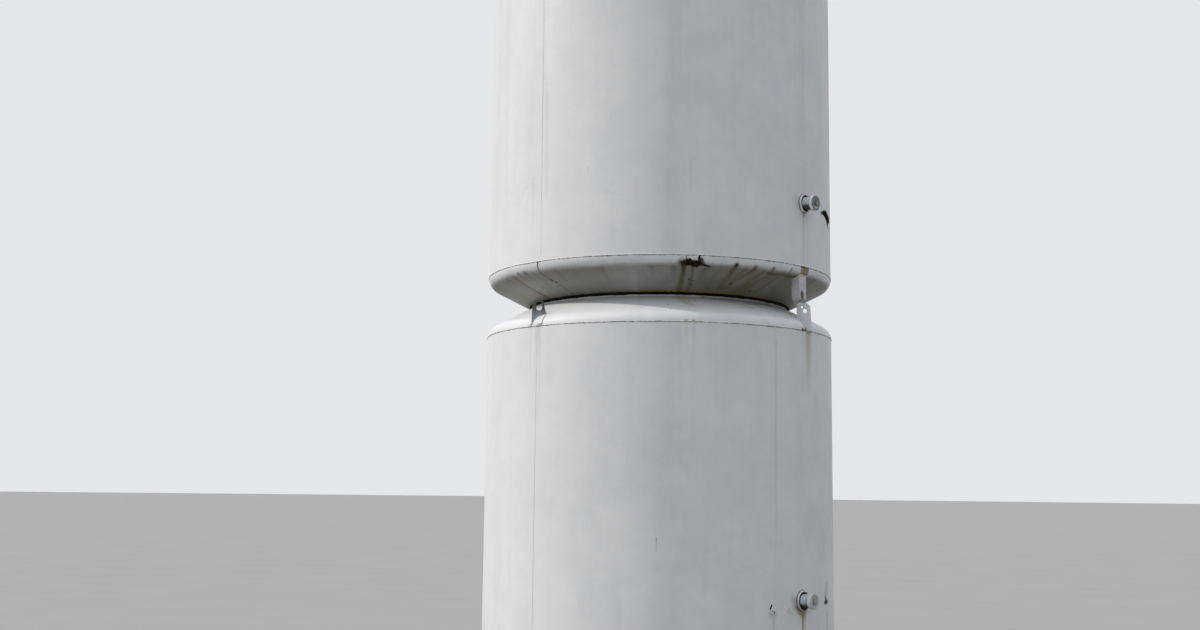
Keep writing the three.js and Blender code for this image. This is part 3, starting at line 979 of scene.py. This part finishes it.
def rusty_weld_material():
    n, point = new_material("rusty_weld")
    color = n.mix(n.between(n.noise(point, 45.0, 4.0, 0.65), 0.4, 0.7), BARE_BLACK, DARK_RUST)
    color = n.mix(n.between(n.noise(point, 24.0, 3.0), 0.6, 0.72, 0.0, 0.6), color, (0.060, 0.034, 0.014))
    return finish_material(n, color, 0.85, n.noise(point, 320.0, 4.0), 0.001, 0.1)


def finish_bracket_paint(n, color, clouds, grain):
    """Small rust spots on a lug's or foot's paint."""
    spots = n.times(n.between(grain, 0.66, 0.74), n.between(clouds, 0.5, 0.6))
    color = n.mix(spots, color, RUST)
    return finish_material(n, color, n.between(clouds, 0.3, 0.7, 0.5, 0.7), grain, 0.0005, 0.35)


def lug_material(unit, kind):
    """Paint on a lug: the eye lugs are darker towards the top, with pale vertical streaks of painted
    reflection.
    """
    n, point = new_material(f"{unit}_{kind}_lug_paint")
    clouds = n.noise(point, 16.0, 4.0, 0.6)
    grain = n.noise(point, 170.0, 3.0, 0.6)
    runs = vertical_noise(n, point, 60.0, 6.0, 3.0, 0.6)
    paint = LUG_PAINT if kind == "eye" else PALE_LUG_PAINT
    shade = tuple(channel * 0.66 for channel in paint)
    color = n.mix(n.between(clouds, 0.35, 0.7, 0.0, 0.7), paint, shade)
    above = n.minus(n.height(point), TOP_SEAM[unit])
    if kind == "eye":
        color = n.mix(n.between(n.ragged(above, runs, 0.06), 0.055, 0.125), color, DARK_LUG)
        # Pale vertical streaks on the eye lugs: painted reflection
        color = n.mix(n.between(runs, 0.62, 0.75, 0.0, 0.6), color, PALE_LUG_PAINT)
    else:
        color = n.mix(n.between(runs, 0.62, 0.78, 0.0, 0.4), color, WARM_GRIME_AND_SHADE)
    return finish_bracket_paint(n, color, clouds, grain)


def foot_paint_material(unit):
    """The feet's paint: pale, with moss and rust around the hole and under the weld."""
    n, point = new_material(f"{unit}_foot_paint")
    clouds = n.noise(point, 16.0, 4.0, 0.6)
    grain = n.noise(point, 170.0, 3.0, 0.6)
    color = n.mix(n.between(clouds, 0.35, 0.7), (0.56, 0.565, 0.56), (0.45, 0.455, 0.45))
    ragged = n.ragged(n.minus(BOTTOM_SEAM[unit], n.height(point)), clouds, 0.05)
    color = n.mix(n.between(ragged, 0.206, 0.226, 0.0, 0.55), color, (0.20, 0.19, 0.10))
    x, z = FOOT["hole"][:2]
    holes = []
    for quarter in QUARTERS:
        place = foot_place(unit, quarter)
        ends = [place @ Vector((x, -1.170, z - 0.012)), place @ Vector((x, -1.140, z - 0.018))]
        holes.append(stroke(*ends, 0.022, 0.022, 0.3, 1.0, 0.95))
    color = n.mix(strokes_mask(n, wobbled(n, point, 90.0, 0.006), holes), color, (0.13, 0.115, 0.045))
    return finish_bracket_paint(n, color, clouds, grain)


def fitting_material(unit):
    """Pale drain fittings, olive grime and painted shade on their undersides near the shell, dirt in the
    threads.
    """
    n, point = new_material(f"{unit}_drain_fitting")
    clouds = n.noise(point, 30.0, 4.0, 0.6)
    grain = n.noise(point, 200.0, 3.0, 0.6)
    mottle = n.between(clouds, 0.35, 0.7)
    stub = n.mix(mottle, (0.50, 0.54, 0.555), (0.34, 0.375, 0.385))
    if unit == "upper":
        pale, dull, dark, share = (0.84, 0.88, 0.89), (0.64, 0.69, 0.70), (0.16, 0.185, 0.19), 0.9
    else:
        pale, dull, dark, share = (0.66, 0.71, 0.72), (0.47, 0.51, 0.52), (0.24, 0.275, 0.29), 0.4
    ragged = n.ragged(n.minus(DRAIN_MIDDLE[unit], n.height(point)), clouds, 0.03)
    out = axis_distance(n, point)
    near = n.between(out, SHELL_RADIUS + 0.074, SHELL_RADIUS + 0.052)
    color = n.mix(n.between(out, SHELL_RADIUS + 0.062, SHELL_RADIUS + 0.066), stub, n.mix(mottle, pale, dull))
    color = n.mix(n.between(grain, 0.6, 0.75, 0.0, 0.4), color, (0.20, 0.21, 0.20))
    face = n.between(out, SHELL_RADIUS + 0.086, SHELL_RADIUS + 0.0885, 0.0, share)
    color = n.mix(face, color, dark)
    # Near-black under the stub, next to the shell: olive grime and painted shade.
    grime = n.times(n.between(ragged, 0.004, 0.028), near)
    color = n.mix(n.times(grime, 0.96), color, (0.050, 0.042, 0.016))
    color = n.mix(n.between(ragged, 0.040, 0.056, 0.0, 0.45), color, (0.20, 0.18, 0.10))
    return finish_material(n, color, 0.55, grain, 0.0006, 0.35)


def boss_material():
    n, point = new_material("drain_boss")
    mottle = n.between(n.noise(point, 60.0, 4.0, 0.65), 0.4, 0.6)
    color = n.mix(mottle, (0.40, 0.40, 0.36), (0.12, 0.09, 0.05))
    color = n.mix(n.between(n.noise(point, 38.0, 3.0), 0.55, 0.68, 0.0, 0.9), color, RUST)
    return finish_material(n, color, 0.7, n.noise(point, 200.0, 3.0), 0.0006, 0.3)


def rubber_material():
    n, point = new_material("black_packing")
    dust = n.noise(point, 24.0, 5.0, 0.65)
    color = n.mix(n.between(dust, 0.5, 0.75, 0.0, 0.45), (0.008, 0.008, 0.007), (0.06, 0.052, 0.038))
    return finish_material(n, color, 0.85, n.noise(point, 90.0, 4.0), 0.002, 0.2)


def concrete_material():
    n, point = new_material("cast_concrete")
    clouds = n.noise(point, 3.2, 5.0, 0.6)
    grain = n.noise(point, 120.0, 4.0, 0.7)
    runs = vertical_noise(n, point, 9.0, 1.2, 4.0, 0.6)
    color = n.mix(n.between(clouds, 0.3, 0.7), (0.40, 0.39, 0.36), (0.28, 0.275, 0.25))
    color = n.mix(n.between(runs, 0.5, 0.75, 0.0, 0.6), color, (0.15, 0.15, 0.12))
    color = n.mix(n.between(grain, 0.6, 0.75, 0.0, 0.5), color, (0.18, 0.175, 0.16))
    pits = n.add("ShaderNodeTexVoronoi", None, {"Vector": point, "Scale": 38.0}).outputs["Distance"]
    holes = n.between(pits, 0.05, 0.16, 1.0, 0.0)
    color = n.mix(n.times(holes, 0.7), color, (0.09, 0.085, 0.07))
    height = n.minus(grain, n.times(holes, 2.0))
    return finish_material(n, color, 0.9, height, 0.002, 0.2)


# The tank's plates

def plate_wave(unit):
    """The shell's small departures from round: long waves, and flats beside the long welds."""
    seed = UNITS.index(unit) * 5.7

    def shape(azimuth, radius, height):
        wave = 0.0012 * noise.noise(around(azimuth, 1.6, height * 0.7 + seed))
        for weld in LONG_WELDS[unit]:
            away = (azimuth - weld + 180) % 360 - 180
            wave -= 0.0012 * math.exp(-(away / 3.2) ** 2)
        return radius + wave, height

    return shape


def build_shell(unit, paints):
    low, high = BOTTOM_SEAM[unit], TOP_SEAM[unit]
    outer = [(SHELL_RADIUS, height) for height in evenly(low, high, SHELL_ROWS)]
    inner = [(SHELL_RADIUS - PLATE, height) for height in (high, (low + high) / 2, low)]
    name = f"{unit}_shell"
    mesh = lathe_mesh(f"{name}_plate", outer + inner, AROUND_SEGMENTS, closed=True, shape=plate_wave(unit))
    piece = new_piece(f"{name}_plate", mesh, paints, "shell_paint", name)
    paint_sectors(piece, SHELL_SECTORS)


def build_head(unit, end, paints):
    profile = head_profile() + head_profile(-PLATE)[::-1]
    placed = [(radius, SEAMS[end][unit] + OUTWARD[end] * height) for radius, height in profile]
    name = f"{unit}_{end}_head"
    mesh = lathe_mesh(f"{name}_plate", placed, AROUND_SEGMENTS, closed=True)
    piece = new_piece(f"{name}_plate", mesh, paints, "shell_paint", name)
    if len(paints) > 1:
        paint_sectors(piece, UNDERSIDE_SECTORS)


def seam_path(radius, height, steps=WELD_STEPS, jogs=False):
    """A weld's line around the tank: it wanders a little, and in jogs where its passes overlap."""
    points = []
    for step in range(steps):
        azimuth = 360 * step / steps
        jitter = 0.0009 * noise.noise(around(azimuth, 60.0, height * 9))
        if jogs:
            jog = 3 * noise.noise(around(azimuth, 9.0, height * 5)) + 0.4 * math.sin(azimuth)
            jitter += 0.0022 * (round(jog) / 3)
        points.append(around(azimuth, radius, height + jitter))
    return points


def build_welds(unit, paint, grime):
    for end in SEAMS:
        seam = SEAMS[end][unit]
        bead_object(f"{unit}_{end}_seam_weld", [seam_path(SHELL_RADIUS - 0.0024, seam)], WELD_RADIUS["seam"],
                    seam, paint, "shell_paint", closed=True, roughness=0.4)
        # A dark tube just under each seam's bead: painted shade below the bead, with dirt and rust.
        grime_and_shade_line = seam_path(SHELL_RADIUS - 0.0004, seam - 0.0034, 2 * WELD_STEPS, True)
        bead_object(f"{unit}_{end}_seam_undercut", [grime_and_shade_line], WELD_RADIUS["grime_and_shade_line"],
                    seam + 3, grime, "shell_paint", closed=True, sides=6, roughness=1.2)
    low, high = BOTTOM_SEAM[unit], TOP_SEAM[unit]
    shape = plate_wave(unit)
    lines = []
    for azimuth in LONG_WELDS[unit]:
        line = []
        for height in evenly(low + 0.004, high - 0.004, 215):
            radius, _ = shape(azimuth, SHELL_RADIUS, height)
            line.append(around(azimuth, radius - 0.0022, height))
        lines.append(line)
    bead_object(f"{unit}_long_welds", lines, WELD_RADIUS["long"], 1.7, paint, "shell_paint", roughness=0.3)


# Lugs. The CAD part's outlines, from the lug's middle and above the seam
LUGS = {
    "eye": {
        "radius": 1.161,
        "azimuth": -47.4,
        "base": (-0.049, 0.0485),
        "top": [
            (0.047, 0.084), (0.0405, 0.103), (0.036, 0.121), (0.0325, 0.142), (0.031, 0.157),
            (0.026, 0.166), (0.016, 0.172), (0.0, 0.175), (-0.016, 0.173), (-0.030, 0.167),
            (-0.038, 0.155), (-0.043, 0.120), (-0.046, 0.085), (-0.048, 0.040),
        ],
        "holes": [(0.0, 0.122, 0.144, 0.019)],
    },
    "bolt": {
        "radius": 1.184,
        "azimuth": 47.4,
        "base": (-0.046, 0.048),
        "top": [
            (0.0465, 0.060), (0.044, 0.124), (0.041, 0.158), (0.028, 0.174), (0.019, 0.180),
            (0.010, 0.183), (0.002, 0.181), (-0.004, 0.178), (-0.012, 0.180), (-0.018, 0.183),
            (-0.025, 0.184), (-0.039, 0.180), (-0.044, 0.173), (-0.046, 0.158),
        ],
        "holes": [(0.008, 0.129, 0.129, 0.014), (-0.011, 0.154, 0.154, 0.008)],
    },
}
LUG_PLACES = {
    "front_left": ("eye", 0), "front_right": ("bolt", 0),
    "back_right": ("eye", 180), "back_left": ("bolt", 180),
}


def lug_middle(lug):
    return around(lug["azimuth"], lug["radius"], 0.0)


def lug_base(lug, face, sink, steps=14):
    """Points where one face of the lug meets the head. Face is -1 for the front and 1 for the back."""
    middle = lug_middle(lug)
    y = middle.y + face * LUG_THICKNESS / 2
    points = [(x, head_height(math.hypot(middle.x + x, y)) - sink) for x in evenly(*lug["base"], steps)]
    return points, y


def lug_outline(lug):
    """The base runs just inside the head's plate, and its ends join the sides."""
    front, _ = lug_base(lug, -1, 0.005)
    back, _ = lug_base(lug, 1, 0.005)
    base = [(a[0], min(a[1], b[1])) for a, b in zip(front, back)]
    highest = base[-1][1] if lug["azimuth"] < 0 else base[0][1]
    sides = [point for point in lug["top"] if point[1] > highest or abs(point[0]) < 0.04]
    return base + sides


def build_lug(unit, quarter, material):
    kind, turn = LUG_PLACES[quarter]
    lug = LUGS[kind]
    middle = lug_middle(lug)
    place = turned(turn, TOP_SEAM[unit])
    name = f"{unit}_lug_{quarter}"
    work = bmesh.new()
    holes = [hole_outline(*hole) for hole in lug["holes"]]
    add_plate(work, lug_outline(lug), holes, LUG_THICKNESS, PLATE_BEVEL, place @ upright(middle.x, middle.y))
    new_piece(f"{name}_plate", finish_mesh(name, work), [material], "bracket_paint", name)
    lines = []
    for face in (-1, 1):
        points, y = lug_base(lug, face, 0.0, 30)
        lines.append([place @ Vector((middle.x + x, y, z)) for x, z in points])
    seed = 3.1 + turn
    bead_object(f"{name}_weld", lines, WELD_RADIUS["lug"], seed, material, "bracket_paint", roughness=0.6)


# Feet. The CAD part's angle bracket, depths below the seam
FOOT = {
    "half_width": 0.042, "outer_radius": 1.178, "bottom": 0.215, "corner": 0.012,
    "hole": (-0.006, -0.182, -0.182, 0.024),
    "web_inner": 1.118, "web_toe": 1.137, "web_heel": 0.193, "web_toe_depth": 0.262,
}


def foot_place(unit, quarter):
    return turned(QUARTERS[quarter], BOTTOM_SEAM[unit])


def build_foot(unit, quarter, material):
    name = f"{unit}_foot_{quarter}"
    place = foot_place(unit, quarter)
    half, outer = FOOT["half_width"], FOOT["outer_radius"]
    inner = outer - FOOT_THICKNESS
    sink = 0.005
    strap_top = -head_height(outer) + 0.004
    corner = FOOT["corner"]
    outline = [(-half, strap_top), (-half, -FOOT["bottom"])]
    outline += arc_points((half - corner, -FOOT["bottom"] + corner), corner, 270, 360, 5)
    outline.append((half, strap_top))
    work = bmesh.new()
    stand = place @ upright(0, -(outer + inner) / 2)
    add_plate(work, outline, [hole_outline(*FOOT["hole"])], FOOT_THICKNESS, PLATE_BEVEL, stand)
    web = [(radius, -head_height(radius) + sink) for radius in evenly(inner + 0.003, FOOT["web_inner"], 6)]
    web += [
        (FOOT["web_inner"], -FOOT["web_heel"]),
        (FOOT["web_toe"] - 0.003, -FOOT["web_toe_depth"] + 0.006),
        (FOOT["web_toe"] + 0.004, -FOOT["web_toe_depth"]),
        (inner + 0.003, -FOOT["bottom"] - 0.004),
    ]
    x_middle = -half + FOOT_THICKNESS / 2
    lay = Matrix(((0, 0, 1, x_middle), (-1, 0, 0, 0), (0, 1, 0, 0), (0, 0, 0, 1)))
    add_plate(work, web, [], FOOT_THICKNESS, PLATE_BEVEL, place @ lay)
    new_piece(f"{name}_bracket", finish_mesh(name, work), [material], "bracket_paint", name)

    def on_the_head(x, radius):
        return place @ Vector((x, -radius, -head_height(math.hypot(radius, x))))

    lines = [[on_the_head(x, radius) for x in evenly(-half, half, 16)] for radius in (outer, inner)]
    lines += [[on_the_head(x, radius) for radius in evenly(outer, FOOT["web_inner"], 12)]
              for x in (-half, -half + FOOT_THICKNESS)]
    bead_object(f"{name}_weld", lines, WELD_RADIUS["foot"], 8.2, material, "bracket_paint", roughness=0.6)
    corner_line = [place @ Vector((-half + FOOT_THICKNESS, -inner, -FOOT["bottom"] + 0.004 + 0.008 * step))
                   for step in range(17)]
    bead_object(f"{name}_fillet", [corner_line], 0.0045, 2.0, material, "bracket_paint", roughness=0.05)


# Drains

def drain_place(unit, droop=0.0):
    """From a drain's own axis along Z to its place on the shell."""
    place = turned(DRAIN_AZIMUTH[unit], DRAIN_MIDDLE[unit]) @ Matrix.Translation((0, -SHELL_RADIUS, 0))
    return place @ Matrix.Rotation(math.radians(droop), 4, "X") @ upright(0, 0)


def drain_part(unit, part, profile, material, place, segments=72):
    work = bmesh.new()
    add_lathe(work, profile, segments, closed=profile[0][0] > 1e-6)
    bmesh.ops.transform(work, matrix=place, verts=work.verts)
    name = f"{unit}_drain_{part}"
    new_piece(f"{name}_fitting", finish_mesh(name, work, DRAIN_SMOOTH), [material], "drain_metal", name)


def add_square(work, half, low, high, bevel=0.003):
    base = bmesh.ops.create_cube(work, size=1.0)["verts"]
    size = Matrix.Diagonal((2 * half, 2 * half, high - low, 1))
    bmesh.ops.transform(work, matrix=Matrix.Translation((0, 0, (low + high) / 2)) @ size, verts=base)
    edges = {edge for vert in base for edge in vert.link_edges}
    bmesh.ops.bevel(work, geom=list(edges), offset=bevel, segments=3, affect="EDGES", profile=0.5)


def build_drain(unit, paint, fitting, boss, rusty, grime):
    straight = drain_place(unit)
    place = drain_place(unit, DRAIN_DROOP[unit])
    rim = DRAIN_RIM[unit]
    collar = [(DRAIN_BORE, -DRAIN_SINK), (rim + 0.002, -DRAIN_SINK), (rim + 0.004, 0.003)]
    collar += arc_points((rim, 0.009), 0.0048, -10, 170, 8)
    collar += [(rim - 0.007, 0.006), (0.051, 0.003), (DRAIN_BORE, 0.003)]
    drain_part(unit, "collar", collar, paint, straight)
    stub = [(0.0, -DRAIN_SINK), (DRAIN_STUB, -DRAIN_SINK), (DRAIN_STUB, 0.052)]
    for turn in range(3):
        depth = 0.052 + 0.004 * turn
        stub += [(DRAIN_STUB, depth), (DRAIN_STUB - 0.0015, depth + 0.002), (DRAIN_STUB, depth + 0.004)]
    stub += [(0.041, 0.0655), (0.0, 0.0655)]
    drain_part(unit, "stub", stub, fitting, place)
    cap = [(0.0, 0.066), (0.0475, 0.066)]
    cap += arc_points((0.0475, 0.0685), 0.0025, -90, 0, 4)
    cap += arc_points((0.0455, 0.0875), 0.0045, 0, 90, 6)
    cap += [(0.036, 0.092), (0.033, 0.0895), (0.0, 0.0895)]
    drain_part(unit, "cap", cap, fitting, place)
    half, high = (0.0145, 0.102) if unit == "lower" else (0.0125, 0.098)
    work = bmesh.new()
    add_square(work, half, 0.088, high)
    bmesh.ops.transform(work, matrix=place, verts=work.verts)
    new_piece(f"{unit}_drain_boss", finish_mesh(f"{unit}_drain_boss", work), [boss], "drain_metal")
    outside = []
    inside = []
    weld = rim + 0.0055
    for step in range(72):
        angle = 2 * math.pi * step / 72
        x, z = weld * math.cos(angle), weld * math.sin(angle)
        outside.append(straight @ Vector((x, z, math.sqrt(SHELL_RADIUS ** 2 - x ** 2) - SHELL_RADIUS)))
        inside.append(place @ Vector((0.0468 * math.cos(angle), 0.0468 * math.sin(angle), 0.006)))

    def bead(part, lines, *options, **more):
        bead_object(f"{unit}_drain_{part}", lines, *options, "drain_metal", **more)

    bead("weld", [outside], 0.0028, 5.5, grime, closed=True, roughness=0.5)
    bead("rust_ring", [inside], 0.0042, 9.5, rusty, closed=True, roughness=0.9)
    drip = []
    for step in range(13):
        angle = -0.9 + 0.15 * step
        x, z = math.sin(angle), math.cos(angle)
        drip.append(place @ Vector((0.046 * x, -0.046 * z, 0.010 + 0.004 * z)))
    clump = []
    for step in range(11):
        angle = -0.3 + 0.12 * step
        clump.append(place @ Vector((0.048 * math.sin(angle), 0.048 * math.cos(angle), 0.010)))
    bead("grime", [drip, clump], 0.0066, 4.5, rusty, roughness=0.8)
    joint = [place @ Vector((0.0452 * math.cos(0.1 * step), 0.0452 * math.sin(0.1 * step), 0.0655))
             for step in range(63)]
    bead("joint", [joint], 0.0018, 3.3, grime, closed=True, roughness=0.6)


# Between and under the units

def build_packing(name, node, material):
    bottom, top = levels(node)
    inner, outer = SEAT_INNER, SEAT_OUTER

    def ragged(azimuth, radius, height):
        if radius < (inner + outer) / 2:
            return radius, height
        coarse = noise.noise(around(azimuth, 7.0, height))
        fine = noise.noise(around(azimuth, 30.0, height * 3))
        return radius + 0.005 * coarse + 0.003 * fine, height

    edge = 0.004
    profile = [
        (inner, bottom), (outer - edge, bottom), (outer - 0.001, bottom + edge), (outer, (bottom + top) / 2),
        (outer - 0.001, top - edge), (outer - edge, top), (inner, top),
    ]
    mesh = lathe_mesh(name, profile, 480, closed=True, shape=ragged)
    new_piece(name, mesh, [material], "seat_rubber", node)


def build_neck_beads(seal, paint):
    """Black sealant smeared on the upper unit's neck, which also stands for painted shade in the gap between
    the units, and a painted lip on the lower unit's.
    """
    bottom, top = levels("waist_seat_ring")
    middle = (bottom + top) / 2
    for name, radius, height, size, material, slot, seed in (
        # The black bead: sealant, and painted shade in the gap between the units
        ("waist_sealant_and_shade", 0.9035, middle + 0.0165, 0.0085, seal, "seat_rubber", 2.2),
        ("waist_lip", 0.8960, middle - 0.0085, 0.0062, paint, "shell_paint", 6.1),
    ):
        points = []
        for step in range(WELD_STEPS):
            azimuth = 360 * step / WELD_STEPS
            ragged = noise.noise(around(azimuth, 14.0, seed)) + 0.6 * noise.noise(around(azimuth, 45.0, seed))
            points.append(around(azimuth, radius + 0.001 * ragged, height + 0.0022 * ragged))
        bead_object(name, [points], size, seed, material, slot, closed=True, roughness=0.35)


def build_plinth(material):
    bottom, top = levels("plinth")
    radius = PLINTH_RADIUS

    def cast(azimuth, r, height):
        rough = noise.noise(around(azimuth, 5.0, height * 4))
        rough += 0.5 * noise.noise(around(azimuth, 22.0, height * 20))
        board = 0.0012 * math.cos(math.radians(azimuth) * 36) ** 8
        if r > 0.98 and height > bottom + 0.001:
            return r - 0.0012 + 0.0014 * rough - board, height
        return r, height

    rows = [(radius, height) for height in evenly(bottom, top - PLINTH_CHAMFER, 12)]
    profile = [(0, bottom)] + rows + [(radius - 0.006, top - 0.006), (radius - PLINTH_CHAMFER, top)]
    profile += [(0.95, top), (0.6, top), (0, top)]
    mesh = lathe_mesh("plinth_cast", profile, 360, shape=cast)
    new_piece("plinth_cast", mesh, [material], "plinth_concrete", "plinth")


def build_scar(rusty):
    """Stubs of weld left where a bracket was torn off, under the upper unit's seam."""
    rim = partial(near_seam, "upper", "bottom")
    lines = []
    for start, end, low, high in (
        (2.9, 6.3, 0.036, 0.044), (3.0, 6.6, 0.050, 0.056),
        (4.4, 6.4, 0.064, 0.066), (1.5, 2.7, 0.050, 0.044),
    ):
        steps = max(5, int((end - start) / 0.22))
        line = []
        for step, share in enumerate(evenly(0, 1, steps)):
            wander = 0.004 * noise.noise(Vector((step * 0.8, low * 90, 0)))
            line.append(rim(start + (end - start) * share, low + (high - low) * share + wander))
        lines.append(line)
    lines += [
        [rim(6.6 - 0.02 * step, 0.002 + 0.003 * step) for step in range(10)],
        [rim(6.4 + 0.06 * step, 0.026 + 0.003 * step) for step in range(9)],
    ]
    bead_object("torn_bracket_weld", lines, 0.0050, 4.4, rusty, "shell_paint", roughness=1.0)
    spur = [rim(7.0 + 0.33 * step, 0.054 + 0.0011 * step) for step in range(10)]
    bead_object("torn_bracket_spur", [spur], 0.0036, 7.7, rusty, "shell_paint", roughness=0.8)


# Build the tank
shell_marks = {"lower": lower_shell_marks(), "upper": upper_shell_marks()}
shell_materials = {
    unit: sector_paints(f"{unit}_shell_paint", shell_marks[unit], SHELL_SECTORS, False, shell_grime(unit))
    for unit in UNITS
}
lower_underside = weathered_paint("lower_underside_paint", [], True, underside_grime, 0.2)
waist_underside = sector_paints("waist_underside_paint", underside_marks(), UNDERSIDE_SECTORS,
                                True, underside_grime, 0.1)
waist_top_paint = weathered_paint("waist_top_paint", lower_top_head_marks(), True, top_head_grime)
head_materials = {
    ("lower", "bottom"): [lower_underside],
    ("lower", "top"): [waist_top_paint],
    ("upper", "bottom"): waist_underside,
    ("upper", "top"): [weathered_paint("crown_paint", [], False, crown_grime, 0.16)],
}
seam_grime_and_shade = seam_grime_and_shade_material()
rusty = rusty_weld_material()
boss = boss_material()
rubber = rubber_material()
concrete = concrete_material()

for unit in UNITS:
    paint = shell_materials[unit][1]
    build_shell(unit, shell_materials[unit])
    for end in SEAMS:
        build_head(unit, end, head_materials[unit, end])
    build_welds(unit, paint, seam_grime_and_shade)
    lug_materials = {kind: lug_material(unit, kind) for kind in LUGS}
    foot_paint = foot_paint_material(unit)
    for quarter in QUARTERS:
        build_lug(unit, quarter, lug_materials[LUG_PLACES[quarter][0]])
        if (unit, quarter) != ("upper", "front_left"):
            build_foot(unit, quarter, foot_paint)
    build_drain(unit, paint, fitting_material(unit), boss, rusty, seam_grime_and_shade)
build_scar(rusty)
build_neck_beads(rubber, waist_top_paint)
build_packing("waist_packing", "waist_seat_ring", rubber)
build_packing("base_packing", "base_seat_ring", rubber)
build_plinth(concrete)


# Stage, light and camera

def build_floor():
    mesh = lathe_mesh("studio_floor", [(0, 0), (20, 0), (400, 0)], 96)
    floor = new_object("studio_floor", mesh)
    n, point = new_material("pale_floor")
    color = n.mix(n.noise(point, 0.8, 3.0), (0.29, 0.29, 0.285), (0.32, 0.32, 0.315))
    floor.data.materials.append(finish_material(n, color, 0.9, None, 0.001, 0.1))


def build_world():
    world = bpy.data.worlds.new("soft_studio")
    bpy.context.scene.world = world
    world.use_nodes = True
    world.node_tree.nodes.clear()
    n = Nodes(world.node_tree)
    direction = n.add("ShaderNodeTexCoord").outputs["Generated"]
    rise = n.height(direction)
    behind = n.vector("DOT_PRODUCT", direction, (0.05, 0.99, 0.08))
    left = n.vector("DOT_PRODUCT", direction, (-0.9, -0.3, 0.3))
    low = n.mix(n.between(left, 0.0, 1.0), (0.28, 0.30, 0.325), (0.49, 0.49, 0.485))
    color = n.mix(n.between(rise, 0.02, 0.36), low, (0.64, 0.69, 0.745))
    color = n.mix(n.between(rise, 0.34, 0.75), color, (1.18, 1.24, 1.34))
    right = n.vector("DOT_PRODUCT", direction, (0.80, -0.59, -0.1))
    color = n.mix(n.between(right, 0.3, 0.92), color, (0.48, 0.48, 0.49), "MULTIPLY")
    color = n.mix(n.between(behind, 0.72, 0.86), color, (0.78, 0.80, 0.82))
    background = n.add("ShaderNodeBackground", None, {"Color": color, "Strength": 1.0})
    out = n.add("ShaderNodeOutputWorld")
    n.put(out.inputs[0], background.outputs[0])


def build_key():
    light = bpy.data.lights.new("soft_key", "SUN")
    light.energy = KEY_ENERGY
    light.angle = math.radians(KEY_SIZE)
    light.color = KEY_COLOR
    key = new_object("soft_key", light)
    elevation = math.radians(KEY_ELEVATION)
    towards = around(KEY_AZIMUTH, math.cos(elevation), math.sin(elevation))
    key.rotation_euler = towards.to_track_quat("Z", "Y").to_euler()


def build_camera():
    data = bpy.data.cameras.new("photo_view")
    data.sensor_width = 36.0
    data.lens = CAMERA_LENS
    data.clip_start = 0.1
    data.clip_end = 2000.0
    camera = new_object("photo_view", data)
    turn = math.radians(VIEW_AZIMUTH)
    across = Vector((math.cos(turn), -math.sin(turn), 0))
    ahead = Vector((math.sin(turn), math.cos(turn), 0))
    spot = across * CAMERA_ACROSS - ahead * CAMERA_DISTANCE
    camera.location = (spot.x, spot.y, TOP_SEAM["lower"] - CAMERA_BELOW_SEAM)
    up = Vector((0, 0, 1))
    view = ahead * math.cos(CAMERA_TILT) + up * math.sin(CAMERA_TILT)
    lifted = up * math.cos(CAMERA_TILT) - ahead * math.sin(CAMERA_TILT)
    level = Matrix((across, lifted, -view)).transposed()
    camera.rotation_euler = (level @ Matrix.Rotation(CAMERA_ROLL, 3, "Z")).to_euler()
    bpy.context.scene.camera = camera


# The photograph's viewpoint, found from the seams and outlines
VIEW_AZIMUTH = 3.2
CAMERA_LENS = 42.0
CAMERA_ACROSS = -0.41508
CAMERA_DISTANCE = 9.81168
CAMERA_BELOW_SEAM = 1.0549
CAMERA_TILT = 0.1255
CAMERA_ROLL = 0.0104

# The key light, from the left
KEY_AZIMUTH = -93.5
KEY_ELEVATION = 35.0
KEY_ENERGY = 2.18
KEY_SIZE = 1.0
KEY_COLOR = (1.0, 0.92, 0.845)

build_floor()
build_world()
build_key()
build_camera()
bpy.context.scene.view_settings.view_transform = "Standard"
